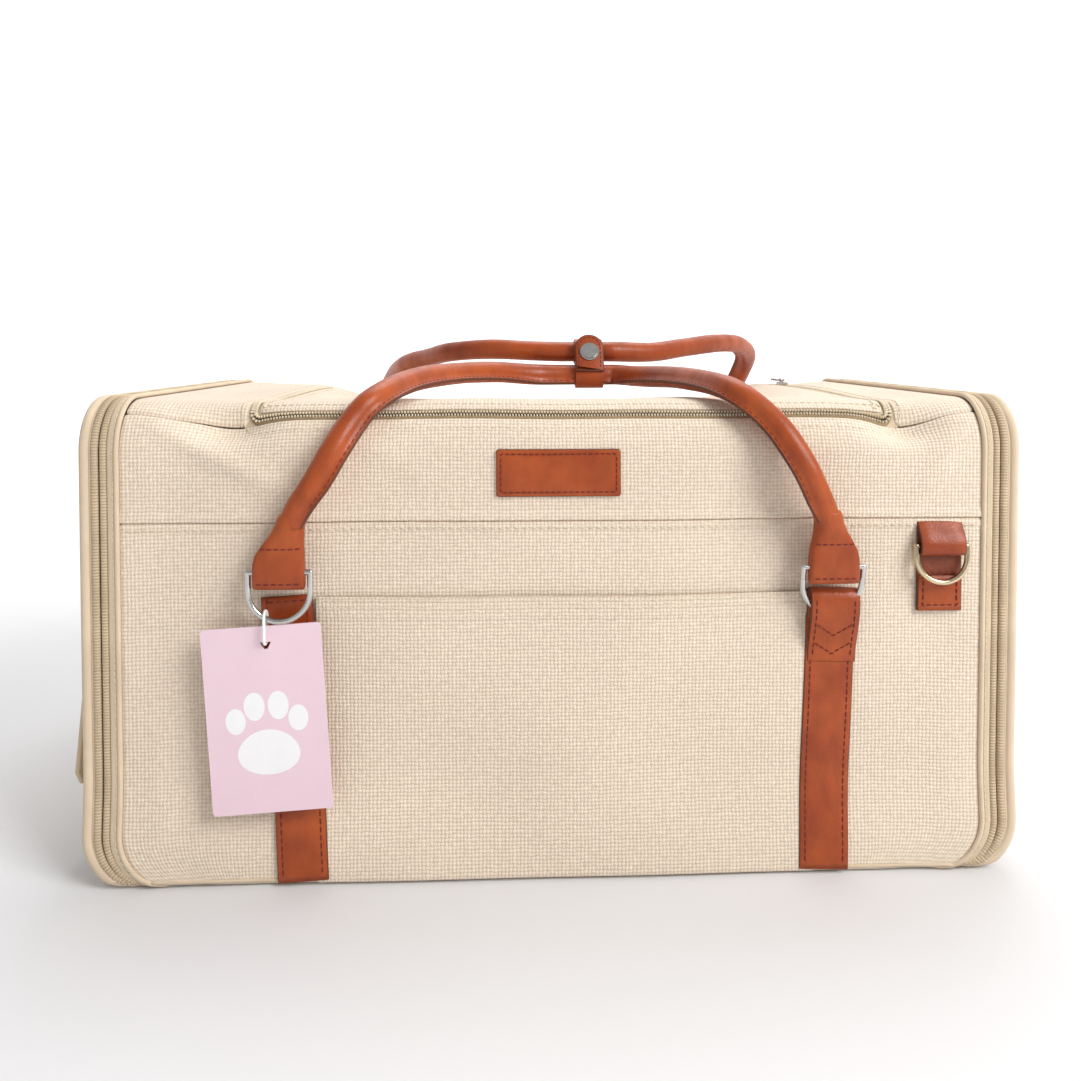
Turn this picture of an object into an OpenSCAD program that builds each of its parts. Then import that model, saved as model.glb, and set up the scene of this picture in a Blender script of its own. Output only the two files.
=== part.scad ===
// Soft-sided pet carrier bag: boxed fabric body, zipped top flap, two
// zipped end doors with rolled covers, two rolled leather handles.
// Millimetres. X runs along the bag to its right, Y to its rear, Z up.
// The origin is the centre of the flat underside.

/* [Body] */
// Half length of the fabric body, to the end piping
body_hx = 224; // [200:1:250]
// Half depth of the fabric body
body_hy = 136; // [125:1:140]
// Height of the body along its middle
body_h = 248; // [240:1:249]
// Radius of the long top edges
top_r = 28; // [26:1:30]
// Radius of the long bottom edges
base_r = 22; // [18:1:26]
// Thickness of the padded wall
wall = 3; // [2:0.5:4]
// Height of the yoke seam on the front and rear
yoke_z = 187; // [180:1:190]

/* [Ends] */
// Half depth of the end rings
end_hy = 138; // [138:1:142]
// Height of the end rings
end_h = 251; // [249:1:254]
// Radius of the end rings at the bottom corners
end_base_r = 24; // [24:1:40]
// Radius of the piping-edged rim tube
rim_r = 3; // [2.6:0.1:3.2]
// Height of the end doors' hinge lines above the base
door_hinge_z = 7.5; // [7:0.5:9]

/* [Top flap] */
// Left edge of the flap opening
flap_x0 = -165; // [-175:1:-150]
// Right edge of the flap opening
flap_x1 = 185; // [170:1:195]
// Front edge of the flap opening
flap_y0 = -130; // [-131:0.5:-126]
// Rear hinge line of the flap
flap_y1 = 97; // [90:1:105]

/* [Leather] */
// Width of the handle straps
strap_w = 26; // [24:1:28]
// Distance of the handle straps from the middle
strap_x = 141; // [139:1:143]
// Radius of the rolled handles
handle_r = 6.5; // [6:0.1:6.6]
// Height of the handle pivot bars
pivot_z = 164; // [163:1:165]
// Distance of the handle pivot bars from the middle plane
pivot_y = 148; // [147.5:0.5:148.5]

/* [Pocket] */
// Half width of the front pocket
pocket_hx = 127.5; // [115:0.5:127.5]
// Height of the pocket's top hem
pocket_z = 149; // [130:1:155]
// Depth of the slack inside the pocket
pocket_gap = 5; // [4.5:0.5:6]

/* [Hidden] */
$fn = 48;

linen = [0.85, 0.77, 0.66];
linen_dark = [0.76, 0.67, 0.55];
tan_leather = [0.63, 0.28, 0.13];
steel = [0.78, 0.77, 0.74];
pale_gold = [0.82, 0.74, 0.56];

// Stations of each end, measured outward from the middle.
piping_x = [body_hx, body_hx + 1.4];
band_x = [piping_x[1], body_hx + 5.6];
band_zip_x = [band_x[1], body_hx + 9.3];
door_zip_x = [body_hx + 9.7, body_hx + 13.4];
door_tape_x = [door_zip_x[1], body_hx + 14.2];
rim_x = body_hx + 14.2 + rim_r;
end_panel_x = [rim_x - 1.2, rim_x + 0.4];
curtain_x = [rim_x + rim_r + 0.5, rim_x + rim_r + 2];
// Distance of the base seams from the middle plane
base_seam_y = body_hy - base_r + 8;
zip_floor_z = 16;
tape_floor_z = 9;

zip_w = 4.5;
zip_gap = 0.4;
bar_r = 1.5;
bore_r = 1.57;
mat_h = 12;

// ---- helpers ----

// Rounded rectangle, y across and z up, with its own top and bottom radii.
module loop2d(hy, z0, z1, rb, rt) {
  union() {
    translate([-hy, z0 + rb]) square([2 * hy, z1 - z0 - rb - rt]);
    translate([-hy + rb, z0]) square([2 * (hy - rb), rb + 1]);
    translate([-hy + rt, z1 - rt - 1]) square([2 * (hy - rt), rt + 1]);
    for (s = [-1, 1]) {
      translate([s * (hy - rb), z0 + rb]) circle(r = rb);
      translate([s * (hy - rt), z1 - rt]) circle(r = rt);
    }
  }
}

// The same loop pulled in by t, as a ring t_in to t_out from its outside.
module ring2d(hy, h, rb, rt, t_out, t_in) {
  difference() {
    loop2d(hy - t_out, t_out, h - t_out, rb - t_out, rt - t_out);
    loop2d(hy - t_in, t_in, h - t_in, rb - t_in, rt - t_in);
  }
}

// Extrude a y-z outline between two x stations.
module along_x(x0, x1) {
  translate([x0, 0, 0]) rotate([90, 0, 90]) linear_extrude(x1 - x0) children();
}

// Body wall between two x stations, as a hollow loop.
module body_wall(x0, x1) {
  along_x(x0, x1) ring2d(body_hy, body_h, base_r, top_r, 0, wall);
}

module box(lo, hi) {
  translate(lo) cube([hi[0] - lo[0], hi[1] - lo[1], hi[2] - lo[2]]);
}

// A piece of an end ring between two stations on side s (-1 left, 1 right).
module end_ring(s, x, t_out, t_in) {
  lo = s > 0 ? x[0] : -x[1];
  hi = s > 0 ? x[1] : -x[0];
  along_x(lo, hi) ring2d(end_hy, end_h, end_base_r, top_r, t_out, t_in);
}

// Round cord of radius r following the end loop, t inside its outline.
module end_cord(s, x, t, r) {
  hy = end_hy - t;
  rb = end_base_r - t;
  rt = top_r - t;
  z0 = t;
  z1 = end_h - t;
  translate([s * x, 0, 0]) rotate([90, 0, 90]) union() {
    for (side = [-1, 1]) {
      translate([side * hy, z0 + rb, 0]) rotate([-90, 0, 0]) cylinder(r = r, h = z1 - z0 - rb - rt);
      translate([side * (hy - rb), z0 + rb, 0]) rotate([0, 0, side > 0 ? 270 : 180])
        rotate_extrude(angle = 90) translate([rb, 0]) circle(r = r);
      translate([side * (hy - rt), z1 - rt, 0]) rotate([0, 0, side > 0 ? 0 : 90])
        rotate_extrude(angle = 90) translate([rt, 0]) circle(r = r);
    }
    translate([-(hy - rb), z0, 0]) rotate([0, 90, 0]) cylinder(r = r, h = 2 * (hy - rb));
    translate([-(hy - rt), z1, 0]) rotate([0, 90, 0]) cylinder(r = r, h = 2 * (hy - rt));
  }
}

// D-shaped ring: a straight bar on the x axis and an arc hanging below it.
module dee(width, height, r) {
  mid = width / 2 - r;
  leg = height - 2 * r - mid;
  union() {
    translate([-mid, 0, 0]) rotate([0, 90, 0]) cylinder(r = r, h = 2 * mid);
    for (s = [-1, 1]) {
      translate([s * mid, 0, 0]) sphere(r = r);
      translate([s * mid, 0, -leg]) cylinder(r = r, h = leg);
    }
    translate([0, 0, -leg]) rotate([90, 0, 0]) rotate([0, 0, 180])
      rotate_extrude(angle = 180) translate([mid, 0]) circle(r = r);
  }
}

// Point at t on the smooth curve through p0..p3, between p1 and p2.
function blend_point(p0, p1, p2, p3, t) =
  0.5 * (2 * p1 + (p2 - p0) * t + (2 * p0 - 5 * p1 + 4 * p2 - p3) * t * t
    + (3 * p1 - p0 - 3 * p2 + p3) * t * t * t);

// A list of points refined n times with a smooth curve.
function smooth(p, n) = [
  for (i = [0 : len(p) - 2]) for (k = [0 : n - 1])
    blend_point(p[max(i - 1, 0)], p[i], p[i + 1], p[min(i + 2, len(p) - 1)], k / n),
  p[len(p) - 1]
];

function unit(v) = v / norm(v);
function tangent(p, i) = unit(p[min(i + 1, len(p) - 1)] - p[max(i - 1, 0)]);

// Round tube of radius r along the points p; flat is a direction the route never takes.
module tube(p, r, flat, sides) {
  rings = [for (i = [0 : len(p) - 1])
    let (t = tangent(p, i), u = unit(cross(t, flat)), v = cross(u, t))
      [for (k = [0 : sides - 1]) p[i] + r * (u * cos(360 * k / sides) + v * sin(360 * k / sides))]];
  last = len(p) - 1;
  faces = concat(
    [[for (k = [0 : sides - 1]) k]],
    [for (i = [0 : last - 1]) for (k = [0 : sides - 1])
      [i * sides + k, (i + 1) * sides + k, (i + 1) * sides + (k + 1) % sides, i * sides + (k + 1) % sides]],
    [[for (k = [sides - 1 : -1 : 0]) last * sides + k]]);
  polyhedron(points = [for (ring = rings) for (q = ring) q], faces = faces, convexity = 6);
}

// ---- body panels ----

module bottom_panel() {
  color(linen_dark) intersection() {
    body_wall(-body_hx, body_hx);
    box([-body_hx - 1, -base_seam_y, -1], [body_hx + 1, base_seam_y, 40]);
  }
}

// Front (s = -1) or rear (s = 1) wall, from the base seam to the yoke seam.
module wall_panel(s) {
  y_far = s * (body_hy + 1);
  color(linen) intersection() {
    body_wall(-body_hx, body_hx);
    union() {
      box([-body_hx - 1, min(s * base_seam_y, y_far), -1], [body_hx + 1, max(s * base_seam_y, y_far), 40]);
      box([-body_hx - 1, min(s * (body_hy - wall - 8), y_far), 39],
          [body_hx + 1, max(s * (body_hy - wall - 8), y_far), yoke_z]);
    }
  }
}

module front_panel() { wall_panel(-1); }
module rear_panel() { wall_panel(1); }

// Front (s = -1) or rear (s = 1) yoke, from its seam over the top edge.
module yoke(s) {
  y_near = s * -flap_y0;
  y_far = s * (body_hy + 1);
  color(linen) intersection() {
    body_wall(-body_hx, body_hx);
    box([-body_hx - 1, min(y_near, y_far), yoke_z], [body_hx + 1, max(y_near, y_far), body_h + 1]);
  }
}

module front_yoke() { yoke(-1); }
module rear_yoke() { yoke(1); }

// Patch pocket: a slack front sheet closed to the wall at its sides and foot.
module front_pocket() {
  sheet = 1.5;
  foot_z = base_r + 2;
  y_face = -body_hy - pocket_gap;
  color(linen) union() {
    box([-pocket_hx, y_face - sheet, foot_z], [pocket_hx, y_face, pocket_z]);
    for (s = [-1, 1])
      box([s > 0 ? pocket_hx - sheet : -pocket_hx, y_face, foot_z],
          [s > 0 ? pocket_hx : -pocket_hx + sheet, -body_hy, pocket_z]);
    box([-pocket_hx, y_face, foot_z], [pocket_hx, -body_hy, foot_z + sheet]);
  }
}

module top_wall(x0, x1, y0, y1) {
  intersection() {
    body_wall(x0, x1);
    box([x0 - 1, y0, body_h - top_r], [x1 + 1, y1, body_h + 1]);
  }
}

module top_frame() {
  color(linen) difference() {
    top_wall(-body_hx, body_hx, flap_y0, -flap_y0);
    box([flap_x0, flap_y0 - 1, body_h - top_r - 1], [flap_x1, flap_y1, body_h + 2]);
  }
}

// Fixed half of the top zip, a U along the front and both sides.
module top_zip_frame() {
  color(linen_dark) difference() {
    top_wall(flap_x0, flap_x1, flap_y0, flap_y1);
    box([flap_x0 + zip_w, flap_y0 + zip_w + zip_gap, 0], [flap_x1 - zip_w, flap_y1 + 1, body_h + 2]);
  }
}

flap_lo = [flap_x0 + zip_w + zip_gap, flap_y0 + zip_w + 2 * zip_gap];
flap_hi = [flap_x1 - zip_w - zip_gap, flap_y1 - zip_gap];

module flap_zip() {
  color(linen_dark) difference() {
    top_wall(flap_lo[0], flap_hi[0], flap_lo[1], flap_hi[1]);
    box([flap_lo[0] + zip_w, flap_lo[1] + zip_w, 0], [flap_hi[0] - zip_w, flap_y1 + 1, body_h + 2]);
  }
}

module top_flap() {
  color(linen) top_wall(flap_lo[0] + zip_w, flap_hi[0] - zip_w, flap_lo[1] + zip_w, flap_hi[1]);
}

module base_board() {
  color([0.35, 0.33, 0.3]) box([-215, -body_hy + base_r, wall], [215, body_hy - base_r, 2 * wall]);
}

module floor_mat() {
  color([0.86, 0.82, 0.76]) box([-218, -120, 2 * wall], [218, 120, 2 * wall + mat_h]);
}

// ---- ends ----

// End facing with its piped edge; it closes the step between the body and the taller end.
module piping(s) {
  lo = s > 0 ? piping_x[0] : -piping_x[1];
  color(linen) along_x(lo, lo + piping_x[1] - piping_x[0]) difference() {
    loop2d(end_hy, 0, end_h, end_base_r, top_r);
    loop2d(body_hy - wall, wall, body_h - wall, end_base_r - wall, top_r - wall);
  }
}
module left_piping() { piping(-1); }
module right_piping() { piping(1); }

// Gusset band between the piping and the zip.
module band(s) { color(linen) end_ring(s, band_x, 0.5, 3.5); }
module left_band() { band(-1); }
module right_band() { band(1); }

module above(z) {
  intersection() {
    children();
    box([-300, -160, z], [300, 160, end_h + 2]);
  }
}

module band_zip(s) { color(linen_dark) above(zip_floor_z) end_ring(s, band_zip_x, 0.5, 2.5); }
module left_band_zip() { band_zip(-1); }
module right_band_zip() { band_zip(1); }

// Door half of the end zip, with its tape running out to the rim.
module door_zip(s) {
  color(linen_dark) union() {
    above(zip_floor_z) end_ring(s, door_zip_x, 0.5, 2.5);
    above(tape_floor_z) end_ring(s, door_tape_x, 0.5, 5.5);
  }
}
module left_door_zip() { door_zip(-1); }
module right_door_zip() { door_zip(1); }

hoop_r = 1.2;

module rim(s) {
  color(linen) difference() {
    end_cord(s, rim_x, rim_r, rim_r);
    end_cord(s, rim_x, rim_r, hoop_r + 0.1);
  }
}
module left_rim() { rim(-1); }
module right_rim() { rim(1); }

// Spring-steel hoop that keeps the rim in shape.
module hoop(s) { color(steel) end_cord(s, rim_x, rim_r, hoop_r); }
module left_hoop() { hoop(-1); }
module right_hoop() { hoop(1); }

// Margin from the end outline to the window, and the window's corner radius.
window_in = 40;
window_r = 14;

// Fabric border of the door, inside the rim, around a mesh window.
module end_panel(s) {
  t = 2 * rim_r + 0.1;
  lo = s > 0 ? end_panel_x[0] : -end_panel_x[1];
  color(linen) along_x(lo, lo + end_panel_x[1] - end_panel_x[0]) difference() {
    loop2d(end_hy - t, t, end_h - t, end_base_r - t, top_r - t);
    loop2d(end_hy - window_in, window_in, end_h - window_in, window_r, window_r);
  }
}
module left_end_panel() { end_panel(-1); }
module right_end_panel() { end_panel(1); }

module mesh_window(s) {
  t = window_in + 0.05;
  lo = s > 0 ? end_panel_x[0] + 0.4 : -end_panel_x[1] + 0.4;
  color([0.3, 0.28, 0.26]) along_x(lo, lo + 0.8)
    loop2d(end_hy - t, t, end_h - t, window_r - 0.05, window_r - 0.05);
}
module left_mesh() { mesh_window(-1); }
module right_mesh() { mesh_window(1); }

curtain_hy = 112;
curtain_z = [38, 236];

// Cloth cover hanging over the end window from its top edge.
module curtain(s) {
  lo = s > 0 ? curtain_x[0] : -curtain_x[1];
  color(linen) along_x(lo, lo + curtain_x[1] - curtain_x[0])
    loop2d(curtain_hy, curtain_z[0], curtain_z[1], 12, 3);
}
module left_curtain() { curtain(-1); }
module right_curtain() { curtain(1); }

// ---- straps, rings and handles ----

strap_foot_z = base_r;
strap_t = 2;
loop_z = [124, 150.5];
loop_y = body_hy + 12.2;

// Leather strap on the wall; looped straps fold through the D-ring.
module strap(x, s, looped) {
  y0 = body_hy;
  top_z = loop_z[1];
  color(tan_leather) translate([x - strap_w / 2, 0, 0]) rotate([90, 0, 90]) linear_extrude(strap_w)
    union() {
      translate([min(s * y0, s * (y0 + strap_t)), strap_foot_z]) square([strap_t, top_z - strap_foot_z]);
      if (looped) {
        translate([min(s * y0, s * loop_y), top_z - 1.5]) square([loop_y - y0, 1.5]);
        translate([min(s * (loop_y - 1.5), s * loop_y), loop_z[0]]) square([1.5, top_z - loop_z[0]]);
        translate([min(s * y0, s * loop_y), loop_z[0] - 1.5]) square([loop_y - y0, 1.5]);
      }
    }
}
module front_left_strap() { strap(-strap_x, -1, false); }
module front_right_strap() { strap(strap_x, -1, true); }
module rear_left_strap() { strap(-strap_x, 1, true); }
module rear_right_strap() { strap(strap_x, 1, true); }

dee_w = 34;
dee_h = 28;
dee_tilt = 13;

// The four handle D-rings; only the front left one hangs straight in front of its strap.
module handle_dees() {
  color(steel) {
    translate([-strap_x, -pivot_y, pivot_z]) dee(dee_w, dee_h, bar_r);
    translate([strap_x, -pivot_y, pivot_z]) rotate([dee_tilt, 0, 0]) dee(dee_w, dee_h, bar_r);
    for (x = [-strap_x, strap_x])
      translate([x, pivot_y, pivot_z]) rotate([-dee_tilt, 0, 0]) dee(dee_w, dee_h, bar_r);
  }
}

lug_w = 26;
lug_t = 8;
lug_top = 183.8;
lug_foot = pivot_z - 8;

// Leather lug at a handle's foot, turning on the D-ring's bar.
module lug(x, s, lean) {
  color(tan_leather) difference() {
    translate([x, s * pivot_y + lug_t / 2, 0]) rotate([90, 0, 0]) linear_extrude(lug_t)
      polygon([[-lug_w / 2, lug_foot + 2], [-lug_w / 2 + 2, lug_foot], [lug_w / 2 - 2, lug_foot],
        [lug_w / 2, lug_foot + 2], [lug_w / 2, pivot_z + 6], [lean + 7, lug_top], [lean - 7, lug_top],
        [-lug_w / 2, pivot_z + 6]]);
    translate([x - lug_w, s * pivot_y, pivot_z]) rotate([0, 90, 0]) cylinder(r = bore_r, h = 2 * lug_w);
  }
}
module front_left_lug() { lug(-strap_x, -1, 6); }
module front_right_lug() { lug(strap_x, -1, -3); }
module rear_left_lug() { lug(-strap_x, 1, 3); }
module rear_right_lug() { lug(strap_x, 1, 5); }

// Centre line of the front handle, which bends back over the bag to the keeper.
front_route = [
  [-135, -148, 187], [-131, -149, 196], [-122, -150, 210], [-114, -147, 225], [-105, -138, 240],
  [-95, -129, 250.5], [-78, -95, 258.5], [-56, -60, 261], [-33, -34, 261], [-11, -19, 259],
  [8, -15, 258.6], [17, -15, 258.6], [35, -15, 258.6], [44, -15.4, 258.6], [57, -30, 258],
  [76, -76, 258.5], [93, -123, 254], [111, -139, 239],
  [124, -148, 219], [133, -149, 200], [138, -148, 187]
];

// Centre line of the rear handle, stacked above the front one at the keeper.
rear_route = [
  [-138, 148, 187], [-135, 152, 203], [-128, 149, 228], [-118, 130, 250], [-103, 87, 263],
  [-82, 55, 269], [-65, 30, 273], [-38, 9, 275], [-12, -3, 274], [8, -5, 273.4],
  [17, -5, 273.4], [35, -5, 273.4], [44, -4.6, 273.4], [70, 8, 273], [96, 30, 276],
  [126, 62, 279], [149, 92, 278], [163, 119, 270],
  [163, 139, 255], [157, 149, 238], [150, 151, 212], [146, 148, 187]
];

module front_handle() {
  color(tan_leather) tube(smooth(front_route, 3), handle_r, [0, -0.59, 0.81], 14);
}
module rear_handle() {
  color(tan_leather) tube(smooth(rear_route, 3), handle_r, [0, 0.59, 0.8], 14);
}

// ---- keeper ----

keeper_x = 26;
keeper_w = 18;
front_c = [-15, 258.6];
rear_c = [-5, 273.4];
tab_foot = [-25.2, 261];
tab_lean = 24.5;
tab_len = 26;
tab_t = 1.5;

module keeper_ring(c, r_in, r_out) {
  translate([keeper_x - keeper_w / 2, c[0], c[1]]) rotate([0, 90, 0]) difference() {
    cylinder(r = r_out, h = keeper_w);
    translate([0, 0, -1]) cylinder(r = r_in, h = keeper_w + 2);
  }
}

// Wrap sewn around the front handle, under the tab.
module keeper_sleeve() { color(tan_leather) keeper_ring(front_c, 7.1, 8.6); }

module tab_frame() {
  translate([keeper_x, tab_foot[0], tab_foot[1]]) rotate([-tab_lean, 0, 0]) children();
}

// Snap tab in front of both handles, with a rounded tip.
module keeper_tab() {
  color(tan_leather) tab_frame() translate([0, tab_t, 0]) rotate([90, 0, 0]) linear_extrude(tab_t)
    union() {
      translate([-keeper_w / 2, 0]) square([keeper_w, tab_len - keeper_w / 2]);
      translate([0, tab_len - keeper_w / 2]) circle(r = keeper_w / 2);
    }
}

snap_up = 13.5;
stud_r = 2.4;
stud_len = 7;

module snap_cap() {
  color(steel) tab_frame() translate([0, 0, snap_up]) rotate([90, 0, 0]) union() {
    cylinder(r = 6, h = 1.2);
    translate([0, 0, 1.2]) cylinder(r = 4.6, h = 0.9);
  }
}

// Wrap on the rear handle with the snap's stud facing the tab.
module keeper_back() {
  color(tan_leather) difference() {
    union() {
      keeper_ring(rear_c, 7.1, 8.3);
      tab_frame() translate([0, tab_t + 0.4, snap_up]) rotate([-90, 0, 0]) cylinder(r = stud_r, h = stud_len);
    }
    translate([keeper_x - keeper_w, rear_c[0], rear_c[1]]) rotate([0, 90, 0])
      cylinder(r = 7.1, h = 2 * keeper_w);
  }
}

// ---- trims and rings ----

label_w = 64.5;
label_z = [199.6, 224];

module label_patch() {
  color(tan_leather) box([-label_w / 2, -body_hy - 2, label_z[0]], [label_w / 2, -body_hy, label_z[1]]);
}

tab_x = 201;
tab_w = 24;
ring_z = 172.6;
ring_y = body_hy + 4.2;
ring_w = 30;
ring_h = 22;

// Leather tab folded round a shoulder ring's bar.
module ring_tab(x, s) {
  color(tan_leather) difference() {
    union() {
      box([x - tab_w / 2, min(s * body_hy, s * (body_hy + 2)), 138],
          [x + tab_w / 2, max(s * body_hy, s * (body_hy + 2)), 184.5]);
      translate([x - tab_w / 2, s * ring_y, ring_z]) rotate([0, 90, 0]) cylinder(r = 3.4, h = tab_w);
    }
    translate([x - tab_w, s * ring_y, ring_z]) rotate([0, 90, 0]) cylinder(r = bore_r, h = 2 * tab_w);
  }
}
module front_ring_tab() { ring_tab(tab_x, -1); }
module rear_ring_tab() { ring_tab(-tab_x, 1); }

module shoulder_ring(x, s) {
  color(pale_gold) translate([x, s * ring_y, ring_z]) rotate([s * 6, 0, 0]) dee(ring_w, ring_h, bar_r);
}
module front_shoulder_ring() { shoulder_ring(tab_x, -1); }
module rear_shoulder_ring() { shoulder_ring(-tab_x, 1); }

// ---- hang tag ----

tag_w = 60;
tag_h = 95;
tag_t = 0.8;
tag_x = -148;
tag_hole_z = 127.9;
tag_hole_down = 9;
tag_tilt = 3.5;
hang_z = 141.2;

module hang_tag() {
  color([0.91, 0.77, 0.83]) translate([tag_x, -pivot_y + tag_t / 2, tag_hole_z])
    rotate([0, -tag_tilt, 0]) difference() {
      translate([-tag_w / 2 - 2, 0, -tag_h + tag_hole_down]) rotate([90, 0, 0]) linear_extrude(tag_t)
        square([tag_w, tag_h]);
      rotate([90, 0, 0]) translate([0, 0, -1]) cylinder(r = 3, h = 3);
    }
}

// Closed plastic loop through the tag's hole and round the D-ring.
module tag_ring() {
  loop_r = 3.2;
  wire_r = 0.8;
  drop = hang_z - tag_hole_z - loop_r;
  color("white") translate([tag_x, -pivot_y, hang_z]) union() {
    rotate([90, 0, 90]) rotate_extrude(angle = 180) translate([loop_r, 0]) circle(r = wire_r);
    translate([0, 0, -drop]) rotate([90, 0, 90]) rotate([0, 0, 180])
      rotate_extrude(angle = 180) translate([loop_r, 0]) circle(r = wire_r);
    for (s = [-1, 1]) translate([0, s * loop_r, -drop]) cylinder(r = wire_r, h = drop);
  }
}

// ---- zip sliders ----

// Height of a pull's pivot above the zip tape
pull_up = 3.6;
pull_len = 16;
pull_w = 5;

// Slider body lying on +Z, and its pull tab, both drawn at the origin.
module slider_body(l, w) {
  union() {
    translate([-l / 2, -w / 2, 0.3]) cube([l, w, 2]);
    translate([l / 4, 0, pull_up]) rotate([90, 0, 0]) translate([0, 0, -w / 6]) difference() {
      cylinder(r = 1.9, h = w / 3);
      translate([0, 0, -1]) cylinder(r = 0.8, h = w);
    }
  }
}

module pull_tab(l, w, eye) {
  difference() {
    union() {
      for (s = [-1, 1]) translate([-0.9, s * (eye / 2 + 0.75) - 0.6, -0.8]) cube([5.3, 1.2, 1.6]);
      translate([3.4, -w / 2, -0.7]) cube([l, w, 1.4]);
      rotate([90, 0, 0]) translate([0, 0, -eye / 2 - 1]) cylinder(r = 0.72, h = eye + 2);
    }
    translate([l - 1, 0, -2]) cylinder(r = 1.5, h = 4);
  }
}

top_slider_at = [flap_hi[0] - 3.2, 70, body_h];
top_l = 9;
slider_w = 6;

module top_slider() { color(steel) translate(top_slider_at) rotate([0, 0, 90]) slider_body(top_l, slider_w); }
module top_pull() {
  color(steel) translate(top_slider_at + [0, top_l / 4, pull_up]) rotate([0, 0, 90])
    pull_tab(pull_len, pull_w, slider_w / 3);
}

end_slider_x = body_hx + 9.5;
end_slider_z = 62;

// Sliders of the end zips stand on the rear vertical of each ring, at its lower end.
module end_slider_frame(s) {
  translate([s * end_slider_x, end_hy, end_slider_z]) rotate([-90, 90, 0]) children();
}
module left_slider() { color(steel) end_slider_frame(-1) slider_body(top_l, slider_w); }
module right_slider() { color(steel) end_slider_frame(1) slider_body(top_l, slider_w); }
module left_pull() {
  color(steel) end_slider_frame(-1) translate([top_l / 4, 0, pull_up])
    pull_tab(pull_len, pull_w, slider_w / 3);
}
module right_pull() {
  color(steel) end_slider_frame(1) translate([top_l / 4, 0, pull_up])
    pull_tab(pull_len, pull_w, slider_w / 3);
}

// ---- drawing ----

bottom_panel();
front_panel();
front_yoke();
front_pocket();
rear_panel();
rear_yoke();
top_frame();
top_zip_frame();
top_flap();
flap_zip();
base_board();
floor_mat();
left_piping();
right_piping();
left_band();
right_band();
left_band_zip();
right_band_zip();
left_door_zip();
right_door_zip();
left_rim();
right_rim();
left_hoop();
right_hoop();
left_end_panel();
right_end_panel();
left_mesh();
right_mesh();
left_curtain();
right_curtain();
front_left_strap();
front_right_strap();
rear_left_strap();
rear_right_strap();
handle_dees();
front_handle();
front_left_lug();
front_right_lug();
keeper_sleeve();
keeper_tab();
snap_cap();
rear_handle();
rear_left_lug();
rear_right_lug();
keeper_back();
label_patch();
front_ring_tab();
rear_ring_tab();
front_shoulder_ring();
rear_shoulder_ring();
hang_tag();
tag_ring();
top_slider();
top_pull();
left_slider();
left_pull();
right_slider();
right_pull();
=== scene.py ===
"""Looks of a soft-sided pet carrier bag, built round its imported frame.

Shapes are worked out in millimetres as whole numpy arrays and turned to metres
when a piece is made. X runs along the bag, Y to its rear and Z up.
"""
import logging
import math
from dataclasses import dataclass, field
from enum import Enum

import bmesh
import bpy
import numpy as np
from mathutils import Euler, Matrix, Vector


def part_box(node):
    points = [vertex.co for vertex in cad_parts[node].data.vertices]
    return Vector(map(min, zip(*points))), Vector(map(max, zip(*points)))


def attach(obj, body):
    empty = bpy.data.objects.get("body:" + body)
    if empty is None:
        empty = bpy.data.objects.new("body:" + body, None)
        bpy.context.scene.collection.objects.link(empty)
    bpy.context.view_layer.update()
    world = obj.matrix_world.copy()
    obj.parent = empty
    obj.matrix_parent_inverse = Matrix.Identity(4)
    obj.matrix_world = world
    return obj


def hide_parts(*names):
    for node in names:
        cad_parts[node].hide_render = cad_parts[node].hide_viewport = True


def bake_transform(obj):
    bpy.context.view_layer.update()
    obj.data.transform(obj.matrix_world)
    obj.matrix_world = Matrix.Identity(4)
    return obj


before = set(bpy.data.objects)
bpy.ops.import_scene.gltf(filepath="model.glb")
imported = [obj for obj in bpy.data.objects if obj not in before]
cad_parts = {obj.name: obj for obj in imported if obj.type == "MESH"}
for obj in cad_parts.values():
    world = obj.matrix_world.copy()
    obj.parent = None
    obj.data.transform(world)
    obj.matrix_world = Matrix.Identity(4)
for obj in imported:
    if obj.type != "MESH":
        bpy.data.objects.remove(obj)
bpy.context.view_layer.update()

log = logging.getLogger("carrier")
MM = 0.001
Array = np.ndarray
INSIDE = (0.0, 0.0, 120.0)
ALONG = np.array([1.0, 0.0, 0.0])
FORWARD = np.array([0.0, -1.0, 0.0])


def as_numbers(box: object) -> list:
    """The corners of a box as plain lists of numbers."""
    return [[float(v) for v in corner] for corner in box]


def ease(t: Array) -> Array:
    """Smooth step: 3t^2 - 2t^3, with t held to 0..1."""
    t = np.clip(t, 0.0, 1.0)
    return t * t * (3.0 - 2.0 * t)


class Side(Enum):
    """A side of the bag and its sign along an axis."""

    LEFT = -1
    RIGHT = 1


# ---------------------------------------------------------------- mesh parts


@dataclass
class Patch:
    """A set of quads with a texture coordinate at each corner.

    points is (n, 3) in millimetres, quads (m, 4), uv (m, 4, 2) in metres.
    """

    points: Array
    quads: Array
    uv: Array
    finish: int = 0


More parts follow.
